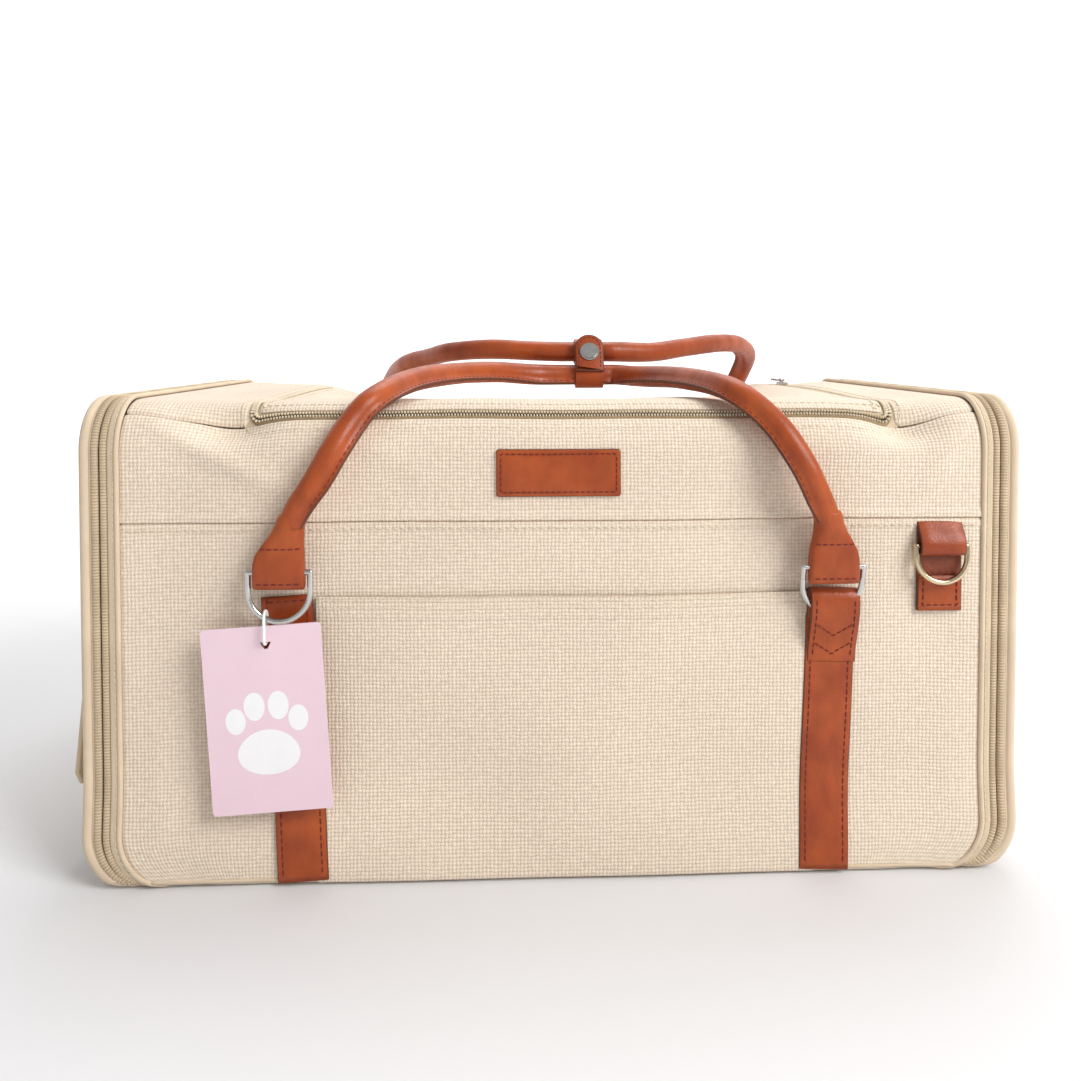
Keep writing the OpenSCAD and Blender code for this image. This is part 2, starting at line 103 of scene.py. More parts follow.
def grid_patch(points: Array, uv: Array, wrap_u: bool = False, wrap_v: bool = False,
               finish: int = 0) -> Patch:
    """Quads over a (nu, nv) grid of points, joined round where it wraps.

    Args:
        points: (nu, nv, 3) places.
        uv: texture coordinates, one row more than points along each wrapped way.
        wrap_u: joins the last row to the first.
        wrap_v: joins the last column to the first.
        finish: index of the material.
    Returns:
        The patch.
    """
    nu, nv = points.shape[:2]
    mu, mv = nu - (not wrap_u), nv - (not wrap_v)
    i, j = np.meshgrid(np.arange(mu), np.arange(mv), indexing="ij")
    i, j = i.ravel(), j.ravel()
    i1, j1 = (i + 1) % nu, (j + 1) % nv
    quads = np.stack([i * nv + j, i1 * nv + j, i1 * nv + j1, i * nv + j1], axis=1)
    corners = np.stack([uv[i, j], uv[i + 1, j], uv[i + 1, j + 1], uv[i, j + 1]], axis=1)
    return Patch(points.reshape(-1, 3), quads, corners, finish)


def flip(patch: Patch) -> Patch:
    """The same patch with its faces turned over."""
    return Patch(patch.points, patch.quads[:, ::-1], patch.uv[:, ::-1], patch.finish)


def fan_cap(loop: Array, finish: int = 0) -> Patch:
    """Closes a loop of 2k points with strips of quads between its two halves.

    Point i is joined to point n - 1 - i, so the cap has no pole.
    """
    n = len(loop) - len(loop) % 2
    i = np.arange(n // 2 - 1)
    quads = np.stack([i, i + 1, n - 2 - i, n - 1 - i], axis=1)
    uv = (loop[quads][:, :, :2] * MM).astype(float)
    return Patch(loop, quads, uv, finish)


def along_lengths(points: Array, axis: int, wrap: bool) -> Array:
    """Distance along a grid's axis in metres, averaged over the other way."""
    moved = np.moveaxis(points, axis, 0)
    if wrap:
        moved = np.concatenate([moved, moved[:1]])
    steps = np.linalg.norm(np.diff(moved, axis=0), axis=-1).mean(axis=1)
    return np.concatenate([[0.0], np.cumsum(steps)]) * MM


def cloth_patch(points: Array, wrap_u: bool = False, wrap_v: bool = False, finish: int = 0) -> Patch:
    """A grid patch whose texture coordinates are its own lengths in metres."""
    u = along_lengths(points, 0, wrap_u)
    v = along_lengths(points, 1, wrap_v)
    uv = np.stack(np.meshgrid(u, v, indexing="ij"), axis=-1)
    return grid_patch(points, uv, wrap_u, wrap_v, finish)


def make_piece(name: str, patches: list[Patch], finishes: list[bpy.types.Material],
               smooth: bool = True, closed: bool = True) -> bpy.types.Object:
    """One mesh object at the origin, made of patches.

    Args:
        name: the piece's name.
        patches: its parts, in millimetres.
        finishes: materials that the patches index.
        smooth: shades it smooth.
        closed: the parts are closed skins, whose faces are turned to look outwards.
    Returns:
        The object, linked to the scene.
    """
    starts = np.cumsum([0] + [len(p.points) for p in patches[:-1]])
    points = np.concatenate([p.points for p in patches]) * MM
    quads = np.concatenate([p.quads + s for p, s in zip(patches, starts)]).astype(np.int32)
    uv = np.concatenate([p.uv.reshape(-1, 2) for p in patches]).astype(np.float32)
    index = np.concatenate([np.full(len(p.quads), p.finish) for p in patches]).astype(np.int32)
    mesh = bpy.data.meshes.new(name)
    mesh.vertices.add(len(points))
    mesh.vertices.foreach_set("co", points.astype(np.float32).ravel())
    mesh.loops.add(len(quads) * 4)
    mesh.loops.foreach_set("vertex_index", quads.ravel())
    mesh.polygons.add(len(quads))
    mesh.polygons.foreach_set("loop_start", np.arange(0, len(quads) * 4, 4, dtype=np.int32))
    for material in finishes:
        mesh.materials.append(material)
    mesh.polygons.foreach_set("material_index", index)
    mesh.polygons.foreach_set("use_smooth", np.full(len(quads), smooth))
    layer = mesh.uv_layers.new(name="cloth")
    layer.data.foreach_set("uv", uv.ravel())
    mesh.update(calc_edges=True)
    mesh.validate(clean_customdata=False)
    piece = bpy.data.objects.new(name, mesh)
    bpy.context.scene.collection.objects.link(piece)
    knit(mesh, closed)
    return piece


def knit(mesh: bpy.types.Mesh, closed: bool) -> None:
    """Merges points that lie together and, on closed skins, turns the faces outwards."""
    work = bmesh.new()
    work.from_mesh(mesh)
    bmesh.ops.remove_doubles(work, verts=work.verts, dist=0.004 * MM)
    if closed:
        bmesh.ops.recalc_face_normals(work, faces=work.faces)
    work.to_mesh(mesh)
    work.free()


def thicken(piece: bpy.types.Object, thickness: float, inward: bool = True, lining: int = 0) -> None:
    """Gives a sheet its thickness in millimetres.

    Args:
        piece: the sheet.
        thickness: in millimetres.
        inward: puts the new wall behind the faces, or else half on each side.
        lining: how many materials further on the inner face is.
    """
    modifier = piece.modifiers.new("thickness", "SOLIDIFY")
    modifier.thickness = thickness * MM
    modifier.offset = -1.0 if inward else 0.0
    modifier.material_offset = lining
    modifier.use_even_offset = True


def refine(piece: bpy.types.Object, levels: int = 1) -> None:
    """Adds subdivision, the same in view and in render."""
    modifier = piece.modifiers.new("smooth", "SUBSURF")
    modifier.levels = levels
    modifier.render_levels = levels


def place(piece: bpy.types.Object, body: str, slot: str, *nodes: str) -> bpy.types.Object:
    """Rides a piece on its body and hides the nodes it stands for.

    A door's pieces ride on no body: their place is baked into their mesh.
    """
    if body.endswith("_door"):
        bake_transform(piece)
    else:
        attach(piece, body)
    if nodes:
        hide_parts(*nodes)
    log.info("%s rides on %s", piece.name, body)
    return piece


# ---------------------------------------------------------------- curves


def smooth_route(points: list, n: int) -> Array:
    """Catmull-Rom curve through the points, n steps to each stretch."""
    p = np.array(points, float)
    padded = np.concatenate([p[:1], p, p[-1:]])
    t = np.linspace(0.0, 1.0, n, endpoint=False)[None, :, None]
    p0, p1, p2, p3 = (padded[k:len(p) - 1 + k, None] for k in range(4))
    curve = 0.5 * (2 * p1 + (p2 - p0) * t + (2 * p0 - 5 * p1 + 4 * p2 - p3) * t ** 2
                   + (3 * p1 - p0 - 3 * p2 + p3) * t ** 3)
    return np.concatenate([curve.reshape(-1, 3), p[-1:]])


def distances(path: Array) -> Array:
    """How far along a path each of its points lies."""
    return np.concatenate([[0.0], np.cumsum(np.linalg.norm(np.diff(path, axis=0), axis=1))])


def resample(path: Array, step: float) -> Array:
    """The same path with points about step apart."""
    lengths = distances(path)
    n = max(int(round(lengths[-1] / step)), 1) + 1
    s = np.linspace(0.0, lengths[-1], n)
    return columns_at(s, lengths, path)


def tangents(path: Array) -> Array:
    """Unit directions along a path."""
    t = np.gradient(path, axis=0)
    return t / np.linalg.norm(t, axis=1, keepdims=True)


def unit(v: Array) -> Array:
    """Vectors scaled to length one."""
    return v / np.maximum(np.linalg.norm(v, axis=-1, keepdims=True), 1e-9)


def sweep(path: Array, side: Array, up: Array, profile: Array) -> Array:
    """A profile carried along a path: point = path + a * side + b * up.

    Args:
        path: (n, 3) places.
        side: (n, 3) or (3,) direction of the profile's first coordinate.
        up: (n, 3) or (3,) direction of its second.
        profile: (k, 2) or (n, k, 2) outline.
    Returns:
        (n, k, 3) places.
    """
    profile = np.broadcast_to(profile, (len(path),) + profile.shape[-2:])
    side = np.broadcast_to(side, path.shape)[:, None]
    up = np.broadcast_to(up, path.shape)[:, None]
    return path[:, None] + profile[..., :1] * side + profile[..., 1:] * up


def rounded_bar(width: float, height: float, radius: float, n: int = 4) -> Array:
    """Closed outline of a bar width by height with rounded corners, turning left."""
    radius = min(radius, width / 2 - 1e-3, height / 2 - 1e-3)
    turns = np.linspace(0.0, math.pi / 2, n)
    corners = []
    for k, (sx, sy) in enumerate(((1, 1), (-1, 1), (-1, -1), (1, -1))):
        angle = turns + k * math.pi / 2
        corners.append(np.stack([sx * (width / 2 - radius) + radius * np.cos(angle),
                                 sy * (height / 2 - radius) + radius * np.sin(angle)], axis=1))
    return np.concatenate(corners)


def round_outline(radius: float, n: int) -> Array:
    """A circle of n points."""
    a = np.linspace(0.0, 2 * math.pi, n, endpoint=False)
    return radius * np.stack([np.cos(a), np.sin(a)], axis=1)


def capped(points: Array, finish: int = 0) -> list[Patch]:
    """A tube of closed outlines, one to each row of points, with both ends capped."""
    return [cloth_patch(points, wrap_v=True, finish=finish),
            fan_cap(points[0], finish), flip(fan_cap(points[-1], finish))]


def capsules(centres: Array, along: Array, out: Array, length: float, width: float,
             height: float, finish: int = 0) -> Patch:
    """Stitches or teeth: small rounded blocks, all made at once.

    Each block is the product of four rings of six points, so it has 24 faces less its ends.

    Args:
        centres: (n, 3) middles.
        along: (n, 3) directions of their length.
        out: (n, 3) directions away from the cloth.
        length: of each block.
        width: of each block.
        height: of each block above and below its middle, doubled.
        finish: index of the material.
    Returns:
        The patch.
    """
    along, out = unit(along), unit(out)
    across = unit(np.cross(out, along))
    ring = np.linspace(0.0, 2 * math.pi, 6, endpoint=False)
    stations = np.array([[-0.5, 0.35], [-0.36, 1.0], [0.36, 1.0], [0.5, 0.35]])
    a = stations[:, :1] * length + 0 * ring
    b = stations[:, 1:] * np.cos(ring) * width / 2
    c = stations[:, 1:] * np.sin(ring) * height / 2
    local = np.stack([a, b, c], axis=-1).reshape(-1, 3)
    basis = np.stack([along, across, out], axis=1)
    points = centres[:, None] + np.einsum("kc,ncd->nkd", local, basis)
    i, j = (m.ravel() for m in np.meshgrid(np.arange(3), np.arange(6), indexing="ij"))
    j1 = (j + 1) % 6
    quads = np.stack([i * 6 + j, (i + 1) * 6 + j, (i + 1) * 6 + j1, i * 6 + j1], axis=1)
    ends = np.array([[0, 1, 2, 3], [0, 3, 4, 5], [21, 20, 19, 18], [23, 22, 21, 18]])
    quads = np.concatenate([quads[:, ::-1], ends[:, ::-1]])
    n = len(centres)
    every = (quads[None] + (np.arange(n) * 24)[:, None, None]).reshape(-1, 4)
    uv = np.zeros((len(every), 4, 2))
    uv[..., 0] = (np.repeat(np.arange(n), len(quads)) * 0.004)[:, None]
    return Patch(points.reshape(-1, 3), every, uv, finish)


def stitch_row(path: Array, out: Array, pitch: float, finish: int = 0, length: float = 2.9,
               width: float = 0.75, height: float = 0.7) -> Patch:
    """A row of stitches at a pitch along a path, each dipping in at its ends."""
    s = distances(path)
    n = max(int(round(s[-1] / pitch)), 1)
    at = (np.arange(n) + 0.5) * s[-1] / n
    reach, longest = pitch * 0.3, pitch * 0.76
    along = columns_at(at + reach, s, path) - columns_at(at - reach, s, path)
    normal = columns_at(at, s, np.broadcast_to(out, path.shape))
    return capsules(columns_at(at, s, path), along, normal, min(length, longest), width, height, finish)


def columns_at(at: Array, s: Array, rows: Array) -> Array:
    """Each column of rows, given at s, read at other distances."""
    return np.stack([np.interp(at, s, rows[:, k]) for k in range(rows.shape[1])], axis=1)


# ---------------------------------------------------------------- materials


class Wiring:
    """The nodes of one material, added in words and joined as they are made."""

    def __init__(self, name: str) -> None:
        """Starts an empty node material called name."""
        self.material = bpy.data.materials.new(name)
        self.material.use_nodes = True
        self.tree = self.material.node_tree
        self.tree.nodes.clear()

    def node(self, kind: str, inputs: dict | None = None, **settings: object) -> bpy.types.Node:
        """Adds a node.

        Args:
            kind: its type.
            inputs: values or sockets by input name or number.
            settings: its own properties.
        Returns:
            The node.
        """
        made = self.tree.nodes.new(kind)
        for key, value in settings.items():
            setattr(made, key, value)
        for key, value in (inputs or {}).items():
            if isinstance(value, bpy.types.NodeSocket):
                self.tree.links.new(value, made.inputs[key])
            else:
                made.inputs[key].default_value = value
        return made

    def math(self, operation: str, a: object, b: object = 0.0, c: object = 0.0) -> bpy.types.NodeSocket:
        """One arithmetic step on a, b and c."""
        return self.node("ShaderNodeMath", {0: a, 1: b, 2: c}, operation=operation).outputs[0]

    def vector(self, operation: str, a: object, b: object) -> bpy.types.NodeSocket:
        """One vector step on a and b."""
        return self.node("ShaderNodeVectorMath", {0: a, 1: b}, operation=operation).outputs[0]

    def scaled(self, vector: object, factors: tuple) -> bpy.types.NodeSocket:
        """A vector with each part multiplied by its own factor."""
        return self.vector("MULTIPLY", vector, factors)

    def noise(self, vector: object, scale: float, detail: float = 2.0,
              output: str = "Fac") -> bpy.types.NodeSocket:
        """Soft noise at a scale per metre of the vector."""
        return self.node("ShaderNodeTexNoise", {"Vector": vector, "Scale": scale, "Detail": detail}
                         ).outputs[output]

    def spread(self, value: object, low: float, high: float, to_low: float,
               to_high: float) -> bpy.types.NodeSocket:
        """Maps low..high to to_low..to_high and holds it there."""
        return self.node("ShaderNodeMapRange", {0: value, 1: low, 2: high, 3: to_low, 4: to_high}
                         ).outputs[0]

    def blend(self, factor: object, a: object, b: object) -> bpy.types.NodeSocket:
        """A colour between a and b."""
        return self.node("ShaderNodeMix", {0: factor, 6: a, 7: b}, data_type="RGBA").outputs[2]

    def darken(self, colour: object, factor: object) -> bpy.types.NodeSocket:
        """A colour multiplied by a number."""
        return self.node("ShaderNodeVectorMath", {0: colour, "Scale": factor}, operation="SCALE").outputs[0]

    def cloth_uv(self) -> bpy.types.NodeSocket:
        """The piece's own cloth coordinates, in metres."""
        return self.node("ShaderNodeUVMap", uv_map="cloth").outputs[0]

    def place_xyz(self) -> bpy.types.NodeSocket:
        """The place on the bag, in metres."""
        return self.node("ShaderNodeTexCoord").outputs["Object"]

    def bump(self, height: object, distance: float, strength: float = 1.0,
             under: object = None) -> bpy.types.NodeSocket:
        """A normal bent by a height, over another normal where one is given."""
        inputs = {"Height": height, "Distance": distance, "Strength": strength}
        if under is not None:
            inputs["Normal"] = under
        return self.node("ShaderNodeBump", inputs).outputs[0]

    def finish(self, inputs: dict) -> bpy.types.Material:
        """Joins a Principled shader with these inputs and returns the material."""
        shader = self.node("ShaderNodeBsdfPrincipled", inputs)
        self.node("ShaderNodeOutputMaterial", {"Surface": shader.outputs[0]})
        return self.material


Colour = tuple


def rgba(colour: Colour) -> tuple:
    """A colour with full opacity."""
    return (*colour, 1.0)


@dataclass(frozen=True)
class WovenLinen:
    """Coarse plain-weave linen: light slubby threads over darker gaps, whose darker colour is painted shade
    between the threads.

    Height of the warp is cos(pi a)(1 + cos(pi (v - 1/2 + i))) / 2 and of the weft
    cos(pi b)(1 + cos(pi (u + 1/2 + j))) / 2; the higher thread shows.
    """

    light: Colour = (0.84, 0.725, 0.595)
    # Painted shade: the darker colour shown in the low gaps between the threads.
    gap: Colour = (0.65, 0.505, 0.365)
    pitch: float = 0.00195
    relief: float = 0.00034

    def material(self, name: str) -> bpy.types.Material:
        """The woven material, on the cloth coordinates."""
        w = Wiring(name)
        uv = w.cloth_uv()
        cells = w.scaled(uv, (1 / self.pitch, 1 / self.pitch, 0.0))
        wander = w.vector("SUBTRACT", w.noise(cells, 0.35, 2.0, "Color"), (0.5, 0.5, 0.5))
        cells = w.vector("ADD", cells, w.scaled(wander, (0.6, 0.6, 0.0)))
        parts = w.node("ShaderNodeSeparateXYZ", {0: cells})
        u, v = parts.outputs[0], parts.outputs[1]
        warp = self.thread(w, u, v, -0.5, w.noise(w.scaled(cells, (1.0, 0.13, 1.0)), 0.9, 1.0))
        weft = self.thread(w, v, u, 0.5, w.noise(w.scaled(cells, (0.13, 1.0, 1.0)), 0.9, 1.0))
        height = w.math("MAXIMUM", warp, weft)
        fibre = w.noise(uv, 2600.0, 2.0)
        # Painted shade: the colour falls from the thread colour to the gap colour as the weave's height
        # drops.
        cover = w.spread(height, 0.12, 0.72, 0.0, 1.0)
        colour = w.blend(cover, rgba(self.gap), rgba(self.light))
        tone = w.math("MULTIPLY", w.spread(w.noise(uv, 9.0, 3.0), 0.3, 0.7, 0.95, 1.04),
                      w.spread(w.noise(cells, 0.75, 1.0), 0.3, 0.7, 0.93, 1.05))
        normal = w.bump(w.math("MULTIPLY_ADD", fibre, 0.16, height), self.relief)
        return w.finish({"Base Color": w.darken(colour, tone), "Roughness": 0.92,
                         "Specular IOR Level": 0.22, "Sheen Weight": 0.12, "Normal": normal})

    @staticmethod
    def thread(w: Wiring, across: object, along: object, shift: float,
               slub: object) -> bpy.types.NodeSocket:
        """Height of one set of threads, thicker and thinner along their length."""
        row = w.math("FLOOR", across)
        body = w.math("COSINE", w.math("MULTIPLY", w.math("SUBTRACT", w.math("SUBTRACT", across, row), 0.5),
                                       math.pi))
        phase = w.math("MULTIPLY", w.math("ADD", w.math("ADD", along, row), shift), math.pi)
        over = w.math("MULTIPLY_ADD", w.math("COSINE", phase), 0.5, 0.5)
        thickness = w.spread(slub, 0.25, 0.75, 0.80, 1.15)
        return w.math("MULTIPLY", w.math("MULTIPLY", body, over), thickness)


@dataclass(frozen=True)
class RibbedTape:
    """Woven tape with fine lines: across for zip ribs, slanted for bias binding, with painted shade in the
    valleys between the lines.
    """

    colour: Colour = (0.66, 0.53, 0.37)
    # Painted shade: the colour of the valleys between the lines.
    groove_shade: Colour = (0.44, 0.33, 0.21)
    pitch: float = 0.0008
    slant: float = 0.0
    relief: float = 0.0001

    def material(self, name: str) -> bpy.types.Material:
        """The tape, with lines counted along the first cloth coordinate."""
        w = Wiring(name)
        uv = w.cloth_uv()
        parts = w.node("ShaderNodeSeparateXYZ", {0: uv})
        line = w.math("MULTIPLY_ADD", parts.outputs[1], self.slant, parts.outputs[0])
        wave = w.math("SINE", w.math("MULTIPLY", line, 2 * math.pi / self.pitch))
        height = w.math("MULTIPLY_ADD", wave, 0.5, 0.5)
        grain = w.noise(uv, 1500.0, 2.0)
        # Painted shade: the colour falls to the groove colour in the valleys between the lines.
        colour = w.blend(w.math("MULTIPLY_ADD", height, 0.75, w.math("MULTIPLY", grain, 0.25)),
                         rgba(self.groove_shade), rgba(self.colour))
        tone = w.spread(w.noise(uv, 40.0, 3.0), 0.3, 0.7, 0.92, 1.06)
        normal = w.bump(w.math("MULTIPLY_ADD", grain, 0.4, height), self.relief)
        return w.finish({"Base Color": w.darken(colour, tone), "Roughness": 0.85,
                         "Specular IOR Level": 0.25, "Sheen Weight": 0.08, "Normal": normal})


@dataclass(frozen=True)
class SmoothLeather:
    """Pull-up leather: warm uneven colour, fine pores and shallow creases, with painted shade darkening the
    crease valleys.
    """

    colour: Colour = (0.43, 0.082, 0.014)
    deep: Colour = (0.26, 0.038, 0.007)
    roughness: float = 0.36
    grain: float = 900.0
    relief: float = 0.00012

    def material(self, name: str) -> bpy.types.Material:
        """The leather, on the bag's own coordinates."""
        w = Wiring(name)
        at = w.place_xyz()
        pores = w.node("ShaderNodeTexVoronoi", {"Vector": at, "Scale": self.grain},
                       feature="SMOOTH_F1").outputs["Distance"]
        crease = w.noise(w.scaled(at, (1.0, 1.0, 0.6)), 130.0, 5.0)
        cloud = w.noise(at, 28.0, 3.0)
        colour = w.blend(w.spread(cloud, 0.28, 0.68, 0.0, 1.0), rgba(self.deep), rgba(self.colour))
        # Painted shade: the colour darkens to 0.86 where the crease height is low.
        tone = w.spread(crease, 0.3, 0.65, 0.86, 1.07)
        height = w.math("MULTIPLY_ADD", crease, 1.5, pores)
        shine = w.spread(crease, 0.3, 0.7, self.roughness + 0.12, self.roughness - 0.04)
        return w.finish({"Base Color": w.darken(colour, tone), "Roughness": shine,
                         "Specular IOR Level": 0.36, "Coat Weight": 0.05, "Coat Roughness": 0.3,
                         "Normal": w.bump(height, self.relief)})


@dataclass(frozen=True)
class PlatedMetal:
    """Polished plate with faint handling marks."""

    colour: Colour = (0.60, 0.59, 0.57)
    roughness: float = 0.14

    def material(self, name: str) -> bpy.types.Material:
        """The metal, on the bag's own coordinates."""
        w = Wiring(name)
        at = w.place_xyz()
        marks = w.noise(w.scaled(at, (1.0, 1.0, 4.0)), 260.0, 4.0)
        tone = w.spread(w.noise(at, 90.0, 2.0), 0.3, 0.7, 0.92, 1.0)
        base = w.node("ShaderNodeRGB")
        base.outputs[0].default_value = rgba(self.colour)
        return w.finish({"Base Color": w.darken(base.outputs[0], tone), "Metallic": 1.0,
                         "Roughness": w.spread(marks, 0.35, 0.75, self.roughness, self.roughness + 0.16),
                         "Normal": w.bump(marks, 0.00002)})


@dataclass(frozen=True)
class PlainFinish:
    """Card, plastic, thread, felt or board: one colour with its own fine grain."""

    colour: Colour
    shade: Colour
    roughness: float = 0.6
    grain: float = 600.0
    relief: float = 0.00005
    sheen: float = 0.0
    specular: float = 0.4

    def material(self, name: str) -> bpy.types.Material:
        """The finish, on the bag's own coordinates."""
        w = Wiring(name)
        at = w.place_xyz()
        fine = w.noise(at, self.grain, 3.0)
        broad = w.noise(at, self.grain / 18, 2.0)
        mixed = w.math("MULTIPLY_ADD", fine, 0.6, w.math("MULTIPLY", broad, 0.4))
        colour = w.blend(w.spread(mixed, 0.35, 0.62, 0.0, 1.0), rgba(self.shade), rgba(self.colour))
        return w.finish({"Base Color": colour, "Sheen Weight": self.sheen,
                         "Specular IOR Level": self.specular,
                         "Roughness": w.spread(broad, 0.3, 0.7, self.roughness - 0.05,
                                               min(self.roughness + 0.05, 1.0)),
                         "Normal": w.bump(fine, self.relief)})


class Finishes:
    """Every finish of the bag, made once and shared by its pieces."""

    def __init__(self) -> None:
        """Makes the materials."""
        self.linen = WovenLinen().material("woven_linen")
        self.lining = PlainFinish((0.62, 0.61, 0.58), (0.52, 0.51, 0.48), 0.8, 900.0).material("lining")
        self.binding = RibbedTape((0.78, 0.64, 0.48), (0.62, 0.48, 0.33), 0.0011, 0.9, 0.00007
                                  ).material("bias_binding")
        self.tape = RibbedTape((0.70, 0.575, 0.415), (0.58, 0.455, 0.31), 0.0007, 0.15, 0.00005
                               ).material("zip_tape")
        self.ribs = RibbedTape((0.68, 0.55, 0.39), (0.40, 0.29, 0.175), 0.0016, 0.0, 0.00010
                               ).material("zip_ribs")
        # Painted shade: a dark brown finish for the shaded hollow round the zip teeth.
        self.groove_shade = PlainFinish((0.36, 0.26, 0.15), (0.26, 0.18, 0.10), 0.9, 900.0).material("zip_groove")
        self.teeth = PlainFinish((0.80, 0.70, 0.53), (0.66, 0.55, 0.39), 0.4, 300.0).material("zip_teeth")
        self.leather = SmoothLeather().material("leather")
        self.grained = SmoothLeather((0.30, 0.075, 0.03), (0.17, 0.035, 0.014), 0.45, 520.0, 0.00028
                                     ).material("grained_leather")
        self.leather_edge = PlainFinish((0.16, 0.045, 0.018), (0.09, 0.025, 0.012), 0.55, 900.0
                                        ).material("leather_edge")
        self.leather_thread = PlainFinish((0.20, 0.022, 0.014), (0.11, 0.014, 0.01), 0.7, 2500.0
                                          ).material("dark_thread")
        self.linen_thread = PlainFinish((0.80, 0.70, 0.55), (0.60, 0.49, 0.34), 0.8, 2500.0
                                        ).material("linen_thread")
        self.steel = PlatedMetal().material("bright_steel")
        self.gold = PlatedMetal((0.70, 0.58, 0.38), 0.13).material("pale_gold")
        self.spring = PlatedMetal((0.45, 0.45, 0.46), 0.3).material("spring_steel")
        self.card = PlainFinish((0.84, 0.63, 0.70), (0.81, 0.60, 0.67), 0.42, 1200.0, 0.00001
                                ).material("tag_card")
        self.print = PlainFinish((0.92, 0.91, 0.92), (0.88, 0.87, 0.88), 0.42, 1200.0, 0.00001
                                 ).material("tag_print")
        self.plastic = PlainFinish((0.88, 0.88, 0.88), (0.82, 0.82, 0.82), 0.3, 200.0, 0.00001
                                   ).material("white_plastic")
        self.net = PlainFinish((0.10, 0.09, 0.08), (0.06, 0.055, 0.05), 0.7, 1500.0).material("net_thread")
        self.board = PlainFinish((0.11, 0.10, 0.09), (0.08, 0.075, 0.07), 0.6, 400.0).material("board")
        self.fleece = PlainFinish((0.78, 0.73, 0.66), (0.62, 0.57, 0.50), 0.95, 900.0, 0.0009, 0.4, 0.1
                                  ).material("fleece")


# ---------------------------------------------------------------- the shell's shape


def mm_box(node: str) -> Array:
    """A CAD node's lowest and highest corners in millimetres."""
    return np.array(as_numbers(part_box(node))) / MM


def zip_line() -> tuple[float, float, float]:
    """The top zip's centre line in millimetres: its left and right runs' x and its front run's y."""
    fixed = mm_box("top_zip_frame")
    width = (mm_box("top_flap")[0, 0] - fixed[0, 0]) / 2
    return fixed[0, 0] + width, fixed[1, 0] - width, fixed[0, 1] + width


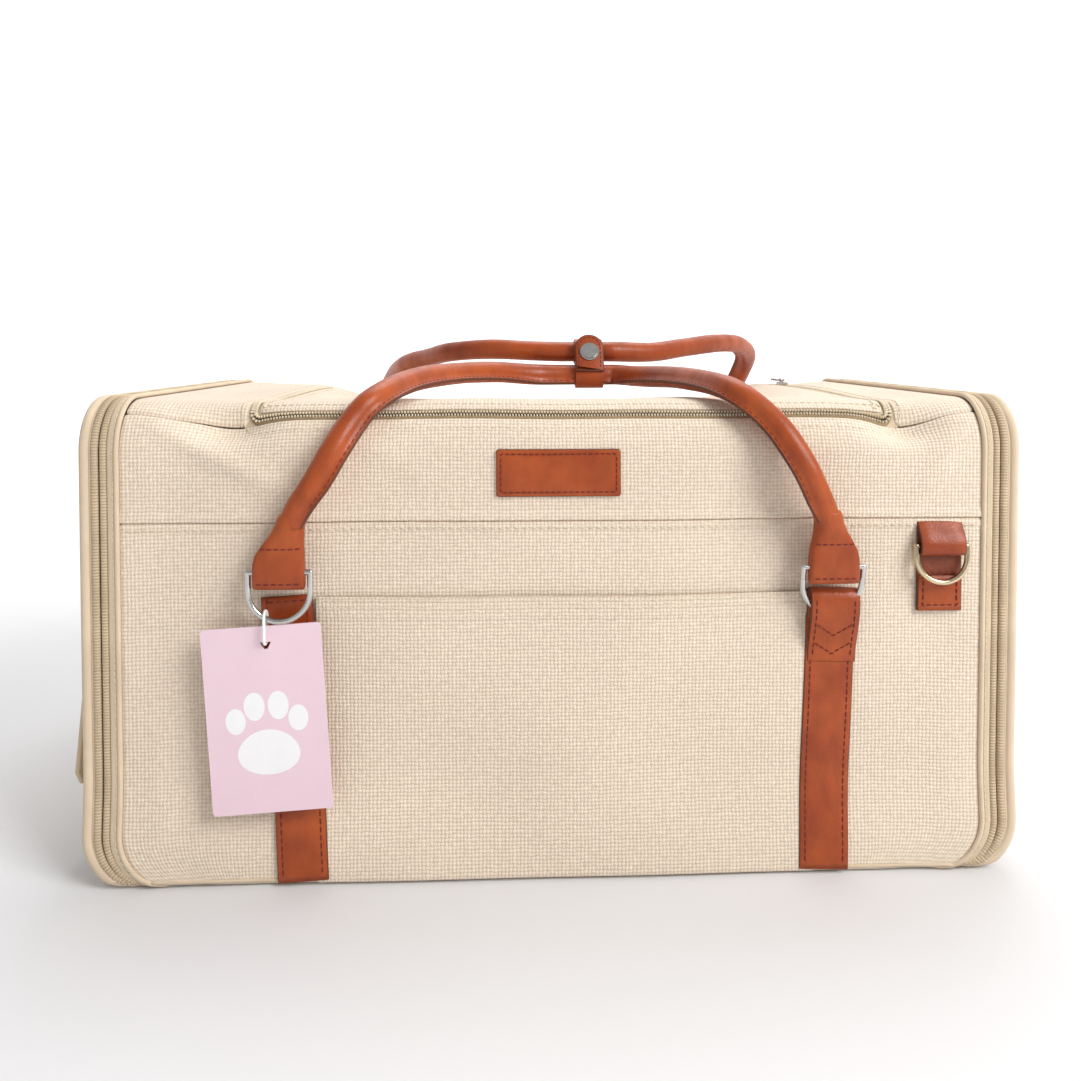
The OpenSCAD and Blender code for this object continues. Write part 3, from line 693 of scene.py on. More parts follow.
@dataclass
class Hull:
    """The fabric shell as formulas, in millimetres.

    A cross-section is a rounded rectangle. Its lower corners are tight along the
    middle and open to the end ring's wide corner; its top is slack along the
    middle and rises to the end ring's height.
    """

    half_len: float = field(default_factory=lambda: mm_box("front_panel")[1, 0])
    half_depth: float = field(default_factory=lambda: -mm_box("front_panel")[0, 1])
    yoke_z: float = field(default_factory=lambda: mm_box("front_panel")[1, 2])
    height: float = field(default_factory=lambda: mm_box("top_frame")[1, 2])
    end_half_depth: float = field(default_factory=lambda: mm_box("left_piping")[1, 1])
    end_height: float = field(default_factory=lambda: mm_box("left_piping")[1, 2])
    base_radius: float = 3.5
    end_base_radius: float = 5.5
    top_radius: float = 27.5
    base_opens: float = 175.0
    top_rises: float = 192.0
    slump: float = 11.5
    corner: float = 28.0
    spread: float = 5.0
    zip_line: tuple = field(default_factory=zip_line)
    gap: float = 2.7

    def section(self, x: Array) -> tuple[Array, Array, Array, Array]:
        """Half depth, height, top radius and base radius of the section at x."""
        low = ease((np.abs(x) - self.base_opens) / (self.half_len - self.base_opens))
        high = ease((np.abs(x) - self.top_rises) / (self.half_len - self.top_rises))
        half = self.half_depth + (self.end_half_depth - 0.6 - self.half_depth) * high
        tall = self.height - 0.3 + (self.end_height - 1.3 - self.height) * high
        top = self.top_radius + 0 * high
        base = self.base_radius + (self.end_base_radius - self.base_radius) * low
        return half, tall, top, base

    def wall(self, x: Array, w: Array) -> Array:
        """The front wall from the base to the flap's opening.

        w is 0..1 round the base, 1..2 up to the yoke seam, 2..3 up the yoke and 3..4 over the top.
        """
        half, tall, top, base = self.section(x)
        turn = np.clip(w, 0, 1) * math.pi / 2
        y = half - base + base * np.sin(turn)
        z = base * (1 - np.cos(turn))
        z = np.where(w > 1, base + (self.yoke_z - base) * np.clip(w - 1, 0, 1), z)
        z = np.where(w > 2, self.yoke_z + (tall - top - self.yoke_z) * np.clip(w - 2, 0, 1), z)
        edge = -self.zip_line[2] + self.gap
        over = np.clip(w - 3, 0, 1) * np.arccos((edge - half + top) / top)
        y = np.where(w > 3, half - top + top * np.cos(over), y)
        z = np.where(w > 3, tall - top + top * np.sin(over), z)
        return np.stack([x + 0 * w, -y, z], axis=-1)

    def front(self, x: Array, z: Array, proud: Array | float = 0.0) -> Array:
        """Points on the front wall at x and z, standing proud of it."""
        half, tall, top, base = self.section(x)
        low = np.clip(base - z, 0, base)
        high = np.clip(z - (tall - top), 0, top)
        y = half - (base - np.sqrt(base ** 2 - low ** 2)) - (top - np.sqrt(top ** 2 - high ** 2))
        return np.stack([x + 0 * z, -(y + proud) + 0 * z, z + 0 * x], axis=-1)

    def lid(self, x: Array, y: Array, proud: Array | float = 0.0) -> Array:
        """Points on the top at x and y: flat, rounded at its front and rear edges."""
        half, tall, top, _ = self.section(x)
        over = np.clip(np.abs(y) - (half - top), 0, top)
        z = tall - (top - np.sqrt(top ** 2 - over ** 2)) + proud
        return np.stack([x + 0 * y, y + 0 * x, z], axis=-1)

    def relax(self, points: Array) -> Array:
        """Lets the cloth give: belly, ripples, sunken top corners and the folds that run from them.

        A dent is a Gaussian in x, y and z, a fold a Gaussian of the distance to a line.
        """
        x, y, z = points[..., 0], points[..., 1], points[..., 2]
        free = 1 - ease((np.abs(x) - 203.0) / 20.0)
        wall = ease((np.abs(y) - 104.0) / 24.0) * free
        top = ease((z - 208.0) / 26.0) * free
        belly = 1.4 * np.cos(math.pi * x / 448) * np.sin(math.pi * np.clip(z / 235, 0, 1))
        ripple = (1.3 * np.sin(x / 33 + z / 57 + 0.6) * np.sin(z / 39 + 0.4 * np.sin(x / 50))
                  + 0.55 * np.sin(x / 17 - z / 43 + 2.1) * ease(z / 60))
        out = belly + ripple
        front = ease(-y / 60.0)
        for x0, z0, x1, z1, lift in ((-218, 243, -132, 199, 2.6), (196, 243, 128, 211, 2.3),
                                     (-205, 34, -168, 79, 0.9), (-120, 236, -60, 206, 0.8),
                                     (208, 226, 190, 197, 1.2)):
            out = out + front * lift * self.fold(x, z, x0, z0, x1, z1, 5.5)
        moved = points.copy()
        moved[..., 1] += np.sign(y) * wall * out
        lift = 0.7 * np.sin(x / 27 + y / 45) + 0.5 * np.sin(x / 14 - y / 33 + 1.0)
        moved[..., 2] += top * lift * (1 - ease((np.abs(y) - 70) / 50) * 0.7)
        for x0, depth, width in ((-170.0, 11.0, 19.0), (184.0, 12.0, 17.0)):
            away = ((x - x0) / width) ** 2 + ((y + 131) / 13) ** 2 + ((z - 238) / 10) ** 2
            well = depth * free * np.exp(-away)
            moved[..., 1] += 0.85 * well
            moved[..., 2] -= 0.55 * well
        drop = self.slump * ease((y + 106) / 150) * (1 - ease((np.abs(x) - 118) / 54))
        moved[..., 2] -= drop * ease((z - self.yoke_z) / 55.0)
        return self.tuck(moved)

    def tuck(self, points: Array) -> Array:
        """Rounds the bag's lower end corners and lets its foot spread.

        Below the corner's height x moves in along a quarter circle.
        """
        x, y, z = points[..., 0], points[..., 1], points[..., 2]
        low = np.clip(self.corner - z, 0, self.corner)
        inward = self.corner - np.sqrt(self.corner ** 2 - low ** 2)
        moved = points.copy()
        moved[..., 0] -= np.sign(x) * inward * ease((np.abs(x) - 150.0) / 74.0)
        moved[..., 1] += np.sign(y) * self.spread * ease((60.0 - z) / 60.0) * ease((np.abs(y) - 95.0) / 35.0)
        return moved

    @staticmethod
    def fold(x: Array, z: Array, x0: float, z0: float, x1: float, z1: float, width: float) -> Array:
        """Height of a ridge along the line from (x0, z0) to (x1, z1)."""
        dx, dz = x1 - x0, z1 - z0
        t = np.clip(((x - x0) * dx + (z - z0) * dz) / (dx * dx + dz * dz), 0, 1)
        away = np.hypot(x - x0 - t * dx, z - z0 - t * dz)
        return np.exp(-(away / width) ** 2) * np.sin(math.pi * (0.15 + 0.7 * t))


# ---------------------------------------------------------------- sub-assemblies


def spaced(lo: float, hi: float, step: float) -> Array:
    """Evenly spaced values from lo to hi, about step apart."""
    return np.linspace(lo, hi, max(int(round((hi - lo) / step)), 1) + 1)


def towards(patch: Patch, inside: tuple) -> Patch:
    """The patch with its faces looking away from a point inside."""
    corner = patch.points[patch.quads]
    normal = np.cross(corner[:, 2] - corner[:, 0], corner[:, 3] - corner[:, 1])
    away = corner.mean(axis=1) - np.array(inside)
    return patch if (normal * away).sum() > 0 else flip(patch)


def rear_of(points: Array) -> Array:
    """Points on the front turned to the rear: the bag seen from behind is the same."""
    turned = points.copy()
    turned[..., 1] *= -1
    return turned


@dataclass
class BodyShell:
    """The fabric walls, yokes, base and top round the flap's opening."""

    hull: Hull
    finishes: Finishes
    wall: float = 2.2
    step: float = 4.0
    hem: float = 3.6
    stitch_pitch: float = 4.2

    def build(self) -> None:
        """Makes every panel of the shell."""
        self.base()
        for rear in (False, True):
            self.wall_panel(rear)
            self.yoke(rear)
        self.lid_frame()

    def columns(self) -> Array:
        """Stations along the bag."""
        return spaced(-self.hull.half_len, self.hull.half_len, self.step)

    def hem_step(self, z: Array) -> Array:
        """Profile across the yoke seam: a turned hem under it, then the edge passes behind the yoke."""
        below = self.hull.yoke_z - z
        raised = 0.35 * ease((below - 0.6) / 0.8) * ease((self.hem + 0.9 - below) / 0.9)
        return raised - 1.5 * ease((1.0 - below) / 1.6)

    def skin(self, name: str, points: Array, body: str, *nodes: str) -> bpy.types.Object:
        """One panel from its grid, lined and thickened inwards."""
        x = points[..., 0]
        girth = np.concatenate([np.zeros((points.shape[0], 1)),
                                np.cumsum(np.linalg.norm(np.diff(points, axis=1), axis=-1), axis=1)], axis=1)
        uv = np.stack([x, girth], axis=-1) * MM
        patch = towards(grid_patch(self.hull.relax(points), uv), INSIDE)
        piece = make_piece(name, [patch], [self.finishes.linen, self.finishes.lining], closed=False)
        thicken(piece, self.wall, lining=1)
        refine(piece)
        return place(piece, body, "linen", *nodes)

    def wall_panel(self, rear: bool) -> None:
        """Front or rear panel, from the base seam to the yoke seam, with its hem stitches."""
        x = self.columns()[:, None]
        yoke = self.hull.yoke_z
        rise = np.concatenate([spaced(0.0, 170.0, 4.2),
                               [174, 178, 181.5, 182.6, 183.2, 184.2, 186.0, 186.6, yoke]])
        w = np.concatenate([spaced(0.0, 1.0, 0.1), 1 + rise[1:] / yoke, [2.03, 2.05]])[None]
        points = self.hull.wall(x, w)
        points[..., 1] -= self.hem_step(points[..., 2])
        side = "rear" if rear else "front"
        points = rear_of(points) if rear else points
        self.skin(side + "_wall_cloth", points, "bag", side + "_panel")
        self.hem_stitches(side, rear)

    def hem_stitches(self, side: str, rear: bool) -> None:
        """The row of stitches under the yoke seam."""
        x = spaced(-self.hull.half_len + 3, self.hull.half_len - 3, 2.0)
        row = self.hull.front(x, np.full_like(x, self.hull.yoke_z - self.hem - 0.3), 0.35)
        row = self.hull.relax(rear_of(row) if rear else row)
        stitches = stitch_row(row, -FORWARD if rear else FORWARD, self.stitch_pitch, 0, 3.0, 0.7, 0.6)
        piece = make_piece(side + "_hem_stitches", [stitches], [self.finishes.linen_thread])
        place(piece, "bag", "linen")

    def yoke(self, rear: bool) -> None:
        """Front or rear yoke, from its seam over the top edge to the flap's opening."""
        x = self.columns()[:, None]
        w = np.concatenate([[2.0, 2.03, 2.08, 2.12, 2.15, 2.18], spaced(2.26, 3.0, 0.12),
                            spaced(3.0, 4.0, 0.1)[1:]])[None]
        points = self.hull.wall(x, w)
        seam = self.hull.yoke_z
        points[..., 1] -= 0.7 * ease((seam + 5.0 - points[..., 2]) / 1.6)
        side = "rear" if rear else "front"
        points = rear_of(points) if rear else points
        self.skin(side + "_yoke_cloth", points, "bag", side + "_yoke")

    def base(self) -> None:
        """Flat base between the two lower seams, with a fine bead along each."""
        x = self.columns()[:, None]
        half, _, _, base = self.hull.section(x)
        across = spaced(-1.0, 1.0, 0.03)[None]
        points = np.stack([x + 0 * across, (half - base) * across, 0 * x + 0 * across + 0.15], axis=-1)
        points = self.hull.tuck(points)
        piece = make_piece("base_cloth", [towards(cloth_patch(points), INSIDE)],
                           [self.finishes.linen, self.finishes.lining], closed=False)
        thicken(piece, self.wall, lining=1)
        place(piece, "bag", "linen", "bottom_panel")
        for sign, side in ((-1, "front"), (1, "rear")):
            run = spaced(-self.hull.half_len + 1, self.hull.half_len - 1, 3.0)
            path = self.hull.relax(self.hull.front(run, np.full_like(run, 3.3), 0.1))
            path = path * np.array([1.0, -sign, 1.0])
            bead = capped(sweep(path, -FORWARD, np.array([0, 0, 1.0]), round_outline(0.75, 8)))
            place(make_piece(side + "_base_bead", bead, [self.finishes.binding]), "bag", "binding")

    def lid_frame(self) -> None:
        """The top round the flap: two end fields and the rear strip, in one cloth."""
        left, right = self.hull.zip_line[0] - self.hull.gap, self.hull.zip_line[1] + self.hull.gap
        rear, edge = mm_box("top_zip_frame")[1, 1], -self.hull.zip_line[2] + self.hull.gap
        fields = ((-self.hull.half_len, left, -edge, edge), (right, self.hull.half_len, -edge, edge),
                  (left, right, rear, edge))
        patches = []
        for x0, x1, y0, y1 in fields:
            x, y = spaced(x0, x1, self.step)[:, None], spaced(y0, y1, self.step)[None]
            flat = self.hull.lid(x, y)
            patches.append(towards(grid_patch(self.hull.relax(flat), flat[..., :2] * MM), INSIDE))
        piece = make_piece("top_frame_cloth", patches,
                           [self.finishes.linen, self.finishes.lining], closed=False)
        thicken(piece, self.wall, lining=1)
        refine(piece)
        place(piece, "bag", "linen", "top_frame")


@dataclass
class TopFlap:
    """The zipped top flap: its cloth, both zip tapes, teeth and topstitching."""

    hull: Hull
    finishes: Finishes
    pitch: float = 1.6
    corner: float = 4.0
    tooth_offset: float = 0.95
    tape_inner: float = 1.5

    def build(self) -> None:
        """Makes the flap and both halves of its zip."""
        path, out = self.line()
        self.half("flap_zip_tape", path, out, -1, "flap", "flap_zip")
        self.half("frame_zip_tape", path, out, 1, "bag", "top_zip_frame")
        self.cloth()
        self.topstitch("flap_topstitch", path, out, -7.4, "flap")
        self.topstitch("opening_topstitch", path, out, 6.6, "bag")

    def line(self) -> tuple[Array, Array]:
        """The zip's centre line, a U with rounded corners, and its outward direction."""
        x0, x1, y0 = self.hull.zip_line
        y1, r = mm_box("flap_zip")[1, 1], self.corner
        turn = spaced(0, math.pi / 2, math.pi / 16)
        run = np.concatenate([
            np.stack([np.full(60, x0), np.linspace(y1, y0 + r, 60)], axis=1)[:-1],
            np.stack([x0 + r - r * np.cos(turn), y0 + r - r * np.sin(turn)], axis=1)[:-1],
            np.stack([np.linspace(x0 + r, x1 - r, 110), np.full(110, y0)], axis=1)[:-1],
            np.stack([x1 - r + r * np.sin(turn), y0 + r - r * np.cos(turn)], axis=1)[:-1],
            np.stack([np.full(60, x1), np.linspace(y0 + r, y1, 60)], axis=1)])
        run = resample(run, self.pitch)
        t = tangents(run)
        return run, np.stack([t[:, 1], -t[:, 0]], axis=1)

    def over(self, path: Array, out: Array, offset: Array | float, proud: Array | float) -> Array:
        """Points beside the zip's line, on the slack top."""
        at = path + out * offset
        return self.hull.relax(self.hull.lid(at[..., 0], at[..., 1], proud))

    def strip(self, path: Array, out: Array, lo: float, hi: float, base: float, thick: float,
              finish: int) -> list[Patch]:
        """A flat tape between two offsets from the line."""
        outline = rounded_bar(abs(hi - lo), thick, thick * 0.45, 3) + np.array([(lo + hi) / 2, base])
        at = path[:, None] + out[:, None] * outline[None, :, :1]
        points = self.hull.relax(self.hull.lid(at[..., 0], at[..., 1], outline[None, :, 1]))
        return capped(points, finish)

    def half(self, name: str, path: Array, out: Array, sign: int, body: str, node: str) -> None:
        """One tape with its row of teeth."""
        patches = self.strip(path, out, sign * self.tape_inner, sign * 6.2, -1.7, 0.7, 0)
        # The strip under the teeth takes the dark groove finish, painted shade that shows between the teeth.
        patches += self.strip(path, out, sign * 0.9, sign * 2.2, -1.0, 1.3, 1)
        shift = 0.5 * (sign > 0)
        n = len(path) - 2
        at = np.arange(n) + shift + 0.5
        index = np.arange(len(path))
        centre = columns_at(at, index, path)
        away = unit(columns_at(at, index, out))
        middle = self.over(centre, away, sign * self.tooth_offset, -0.3)
        across = np.concatenate([away, np.zeros((n, 1))], axis=1)
        upward = np.broadcast_to([0.0, 0.0, 1.0], middle.shape)
        patches.append(capsules(middle, across, upward, 2.3, 0.95, 1.5, 2))
        piece = make_piece(name, patches, [self.finishes.tape, self.finishes.groove_shade, self.finishes.teeth])
        place(piece, body, "zip_tape", node)

    def cloth(self) -> None:
        """The flap's cloth."""
        box = mm_box("top_flap")
        x0, x1, y0 = self.hull.zip_line
        gap = self.hull.gap
        x, y = spaced(x0 + gap, x1 - gap, 4.0)[:, None], spaced(y0 + gap, box[1, 1], 4.0)[None]
        flat = self.hull.lid(x, y, 0.2)
        patch = towards(grid_patch(self.hull.relax(flat), flat[..., :2] * MM), INSIDE)
        piece = make_piece("flap_cloth", [patch], [self.finishes.linen, self.finishes.lining], closed=False)
        thicken(piece, 2.0, lining=1)
        refine(piece)
        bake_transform(piece)
        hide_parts("top_flap")
        log.info("flap_cloth bends between bag and flap")

    def topstitch(self, name: str, path: Array, out: Array, offset: float, body: str) -> None:
        """Stitches along the folded edge beside the zip."""
        keep = path[:, 1] < mm_box("top_flap")[1, 1] - 24
        row = self.over(path[keep], out[keep], offset, 0.3 if offset < 0 else 0.1)
        piece = make_piece(name, [stitch_row(row, np.array([0, -0.3, 1.0]), 3.8, 0, 2.8, 0.65, 0.55)],
                           [self.finishes.linen_thread])
        place(piece, body, "linen")


@dataclass
class BagEnd:
    """One end: piping, gusset band, zip ribs, rim, faced panel with its net window, and the cover."""

    side: Side
    hull: Hull
    finishes: Finishes
    rib_pitch: float = 1.6
    rib_width: float = 4.1
    rib_floor: float = 2.4
    base_r: float = 6.0
    top_r: float = 28.0
    window_corner: float = 14.0

    def __post_init__(self) -> None:
        """Takes the end's name, sign and outward direction from its side."""
        self.name = self.side.name.lower()
        self.sign = self.side.value
        self.outward = self.sign * ALONG

    def loop(self, inset: float, step: float) -> tuple[Array, Array]:
        """The end's outline, from the middle of the base round by the front, and its outward normals."""
        half, tall = self.hull.end_half_depth, self.hull.end_height
        rb, rt = self.base_r, self.top_r
        corners = (((-half + rb, rb), rb, 270), ((-half + rt, tall - rt), rt, 180),
                   ((half - rt, tall - rt), rt, 90), ((half - rb, rb), rb, 0))
        places, normals = [np.array([[0.0, 0.0]])], [np.array([[0.0, -1.0]])]
        for (cy, cz), r, start in corners:
            a = np.radians(np.linspace(start, start - 90, 40))
            normal = np.stack([np.cos(a), np.sin(a)], axis=1)
            places.append(np.array([cy, cz]) + r * normal)
            normals.append(normal)
        places.append(np.array([[0.0, 0.0]]))
        normals.append(np.array([[0.0, -1.0]]))
        both = resample_with(np.concatenate(places), np.concatenate(normals), step)
        return both[0] - inset * both[1], both[1]

    def path(self, x: float, step: float, floor: float | None = None) -> tuple[Array, Array, Array]:
        """The loop at a station, tucked in at its foot and open below a floor where one is given.

        Args:
            x: the station.
            step: distance between places.
            floor: lowest point of an open loop.
        Returns:
            Places, directions out of the loop, and directions out along the bag.
        """
        flat, normal = self.loop(0.0, step)
        keep = flat[:, 1] >= floor if floor is not None else np.arange(len(flat)) < len(flat) - 1
        flat, normal = flat[keep], normal[keep]
        station = np.full((len(flat), 1), self.sign * x)
        places = self.hull.tuck(np.concatenate([station, flat], axis=1))
        normal = np.concatenate([np.zeros_like(station), normal], axis=1)
        if floor is None:
            wrapped = np.concatenate([places[-1:], places, places[:1]])
            along = unit(wrapped[2:] - wrapped[:-2])
        else:
            along = tangents(places)
        side = unit(np.cross(along, normal))
        side *= np.sign(side[:, 0].sum()) * self.sign
        normal_again = unit(np.cross(side, along))
        return places, normal_again * np.sign((normal_again * normal).sum()), side

    def ring(self, name: str, body: str, slot: str, node: str, finishes: list, x: float, outline: Array,
             step: float = 3.0, floor: float | None = None, rib: Array | None = None,
             more: tuple = ()) -> None:
        """A closed outline carried round the end.

        Args:
            name: the piece's name.
            body: what it rides on.
            slot: its finish slot; not used.
            node: the CAD node it stands for.
            finishes: its material, and any stitches' material after it.
            x: station of the ring's middle.
            outline: (k, 2) outward along the bag, and outward from the loop.
            step: distance between stations round the loop.
            floor: lowest point, where the ring is open at its foot.
            rib: how far each outline point moves out and in with the ribs.
            more: further parts of the piece.
        """
        path, normal, side = self.path(x, step, floor)
        profile = np.broadcast_to(outline, (len(path),) + outline.shape).copy()
        if rib is not None:
            wave = 0.5 + 0.5 * np.cos(np.arange(len(path)) * 2 * math.pi * step / self.rib_pitch)
            profile[..., 1] += wave[:, None] * rib[None]
        points = sweep(path, side, normal, profile)
        points[..., 2] = np.maximum(points[..., 2], 0.1)
        patches = [cloth_patch(points, wrap_u=True, wrap_v=True)] if floor is None else capped(points)
        place(make_piece(name, patches + list(more), finishes), body, slot, node)

    def build(self) -> None:
        """Makes every piece of the end."""
        name, f, door = self.name, self.finishes, self.name + "_door"
        box = {part: mm_box(f"{name}_{part}") for part in
               ("piping", "band", "band_zip", "door_zip", "rim", "end_panel", "mesh", "curtain")}
        span = {part: np.sort(np.abs(b[:, 0])) for part, b in box.items()}
        piping, band = span["piping"], span["band"]
        bead = round_outline(1.35, 12) + np.array([0.0, -0.55])
        self.ring(name + "_piping_bead", "bag", "binding", name + "_piping", [f.binding],
                  piping.mean(), bead)
        width = band[1] - band[0]
        gusset = rounded_bar(width, 2.6, 0.9, 4) + np.array([0.0, -1.6])
        gusset[:, 1] += 0.25 * np.cos(gusset[:, 0] / width * math.pi)
        self.ring(name + "_gusset", "bag", "linen", name + "_band", [f.tape, f.linen_thread],
                  band.mean(), gusset, more=(self.ring_stitches(band[0] + width * 0.28, 0.05),))
        outline = self.rib_outline()
        rib = 0.42 * (outline[:, 1] > -0.6)
        for part, body, more in (("band_zip", "bag", ()), ("door_zip", door, self.skirt(span["door_zip"]))):
            self.ring(f"{name}_{part}_ribs", body, "zip_tape", f"{name}_{part}", [f.ribs, f.tape],
                      span[part].mean(), outline, self.rib_pitch / 4, self.rib_floor, rib, more)
        r = (span["rim"][1] - span["rim"][0]) / 2
        tube = round_outline(r * 0.99, 18) + np.array([0.0, -r])
        self.ring(name + "_rim_binding", door, "binding", name + "_rim", [f.binding],
                  span["rim"].mean(), tube, 2.4)
        hoop = np.abs(mm_box(name + "_hoop"))
        wire = round_outline(1.2, 8) - np.array([0.0, self.hull.end_half_depth - hoop[:, 1].max() + 1.2])
        self.ring(name + "_hoop_wire", door, "spring_steel", name + "_hoop", [f.spring],
                  hoop[:, 0].mean(), wire, 4.0)
        self.panel(span)
        self.net(span)
        self.cover(span)

    def rib_outline(self) -> Array:
        """One zip rib: a low dome over a flat foot."""
        wide = self.rib_width
        a = spaced(0.0, math.pi, math.pi / 10)
        dome = np.stack([wide * 0.47 * np.cos(a), -1.9 + 1.6 * np.sin(a) ** 0.7], axis=1)
        foot = np.array([[0.1 - wide / 2, -2.4], [wide / 2 - 0.1, -2.4]])
        return np.concatenate([dome, foot])

    def skirt(self, span: Array) -> list[Patch]:
        """The tape that runs from the door's rib out to the rim."""
        path, normal, side = self.path(span[0] + self.rib_width + 0.4, 3.0, self.rib_floor)
        outline = rounded_bar(1.3, 4.2, 0.4, 3) + np.array([0.0, -3.1])
        return capped(sweep(path, side, normal, outline), 1)

    def ring_stitches(self, x: float, inset: float) -> Patch:
        """Stitches round the gusset band."""
        path, normal, _ = self.path(x, 2.0, 3.0)
        return stitch_row(path - normal * inset, normal, 3.6, 1, 2.6, 0.6, 0.5)

    def outline(self, inset: float, n: int, corner: float | None = None) -> Array:
        """n points round the door at an inset, shared out alike between sides and corners."""
        half, tall = self.hull.end_half_depth - inset, self.hull.end_height - inset
        rb = corner if corner is not None else self.base_r - inset
        rt = corner if corner is not None else self.top_r - inset
        low = inset
        arcs = (((-half + rb, low + rb), rb, 270), ((-half + rt, tall - rt), rt, 180),
                ((half - rt, tall - rt), rt, 90), ((half - rb, low + rb), rb, 0))
        quarter = n // 8
        rows = []
        for k, ((cy, cz), r, start) in enumerate(arcs):
            a = np.radians(np.linspace(start, start - 90, quarter))
            rows.append(np.array([cy, cz]) + r * np.stack([np.cos(a), np.sin(a)], axis=1))
            (ny, nz), nr, ns = arcs[(k + 1) % 4]
            head = np.array([ny + nr * math.cos(math.radians(ns)), nz + nr * math.sin(math.radians(ns))])
            t = np.linspace(0, 1, quarter + 2)[1:-1, None]
            rows.append(rows[-1][-1] * (1 - t) + head * t)
        return np.concatenate(rows)

    def panel(self, span: dict) -> None:
        """The door's cloth border, slightly domed, with a bound and stitched window edge."""
        x = span["end_panel"]
        mesh = mm_box(self.name + "_mesh")
        window_in = self.hull.end_half_depth - mesh[1, 1] - 0.05
        share = spaced(0.0, 1.0, 0.1)[:, None, None]
        count = 160
        outer, inner = self.outline(5.4, count), self.outline(window_in, count, self.window_corner)
        flat = outer[None] * (1 - share) + inner[None] * share
        bulge = 1.1 * np.sin(math.pi * share[..., 0]) + 0 * flat[..., 0]
        station = self.sign * (x[1] - 0.2 + bulge)
        points = self.hull.tuck(np.concatenate([station[..., None], flat], axis=2))
        uv = np.concatenate([flat, flat[:, :1]], axis=1) * MM
        patch = towards(grid_patch(points, uv, wrap_v=True), INSIDE)
        piece = make_piece(self.name + "_door_cloth", [patch], [self.finishes.linen], closed=False)
        thicken(piece, 1.4)
        refine(piece)
        place(piece, self.name + "_door", "linen", self.name + "_end_panel")
        edge = np.concatenate([np.full((count, 1), self.sign * (x[1] - 0.5)), inner], axis=1)
        outward = unit(inner - np.array([0.0, 0.5 * self.hull.end_height]))
        outward = np.concatenate([np.zeros((count, 1)), outward], axis=1)
        bar = rounded_bar(2.4, 7.0, 0.8, 4)
        points = sweep(edge, self.outward, outward, bar)
        row = edge + outward * 2.4 + self.outward * 1.25
        row = np.concatenate([row, row[:1]])
        patches = [cloth_patch(points, wrap_u=True, wrap_v=True),
                   stitch_row(row, self.outward, 3.6, 1, 2.6, 0.6, 0.5)]
        piece = make_piece(self.name + "_window_binding", patches,
                           [self.finishes.binding, self.finishes.linen_thread])
        place(piece, self.name + "_door", "binding")

    def net(self, span: dict) -> None:
        """The window's net: two sets of fine square threads clipped to its rounded outline."""
        box = mm_box(self.name + "_mesh")
        x = self.sign * span["mesh"].mean()
        patches = []
        for way in (0, 1):
            lo, hi = box[0, 1 + way], box[1, 1 + way]
            at = spaced(lo + 1.5, hi - 1.5, 2.4)
            other_lo, other_hi, r = box[0, 2 - way], box[1, 2 - way], self.window_corner
            past = np.clip(r - np.minimum(at - lo, hi - at), 0, r)
            cut = r - np.sqrt(r * r - past * past)
            ends = np.stack([other_lo + cut, other_hi - cut], axis=1)
            middle = np.zeros((len(at), 3))
            middle[:, 0] = x + self.sign * 0.2 * (way - 0.5)
            middle[:, 1 + way] = at
            middle[:, 2 - way] = ends.mean(axis=1)
            along = np.zeros_like(middle)
            along[:, 2 - way] = 1.0
            out = np.broadcast_to(ALONG, middle.shape)
            patches.append(threads(middle, along, out, ends[:, 1] - ends[:, 0], 0.5))
        piece = make_piece(self.name + "_window_net", patches, [self.finishes.net])
        place(piece, self.name + "_door", "mesh", self.name + "_mesh")

    def cover(self, span: dict) -> None:
        """The cloth cover, hanging from its top edge in a shallow wave.

        The left one flares at its free front corner.
        """
        box = mm_box(self.name + "_curtain")
        half, low, high = box[1, 1], box[0, 2], box[1, 2]
        u, v = spaced(-1.0, 1.0, 0.04)[:, None], spaced(0.0, 1.0, 0.04)[None]
        corner = np.clip(np.abs(u) - 0.88, 0, 0.12) / 0.12
        foot = 10.0 * (1 - np.sqrt(np.clip(1 - corner ** 2, 0, 1)))
        drop = 1 - v
        z = low + foot * drop ** 2 + (high - low - foot * drop ** 2) * v + 0 * u
        y = half * u + 0 * v
        wave = 0.9 * np.sin(u * 5.2 + 0.8) * drop + 0.5 * np.sin(u * 11 + v * 3) * drop
        flare = (11.5 if self.side is Side.LEFT else 2.5) * drop ** 1.6 * ease((0.25 - u) / 1.3)
        x = self.sign * (span["curtain"][0] + 1.0 + np.maximum(wave, -0.6) + flare)
        points = np.stack([x + 0 * z, y, z], axis=-1)
        patch = towards(cloth_patch(points), INSIDE)
        piece = make_piece(self.name + "_cover_cloth", [patch], [self.finishes.linen], closed=False)
        thicken(piece, 1.3)
        refine(piece)
        down, across = points[1:, :-1] - points[:-1, :-1], points[:-1, 1:] - points[:-1, :-1]
        area = np.linalg.norm(np.cross(down, across), axis=-1).sum() * MM * MM
        hem = self.cover_hem(points)
        for item in (piece, hem):
            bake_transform(item)
        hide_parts(self.name + "_curtain")
        log.info("%s hangs with %.4f square metres", piece.name, area)

    def cover_hem(self, points: Array) -> bpy.types.Object:
        """The binding round the cover's two sides and foot."""
        edge = np.concatenate([points[0, ::-1], points[1:, 0], points[-1, 1:]])
        middle = points.mean(axis=(0, 1))
        inward = unit((middle - edge) * np.array([0.0, 1.0, 1.0]))
        bar = rounded_bar(2.5, 5.0, 0.9, 3)
        shape = sweep(edge + inward * 1.9 - self.outward * 0.6, self.outward, inward, bar)
        return make_piece(self.name + "_cover_hem", capped(shape), [self.finishes.binding])


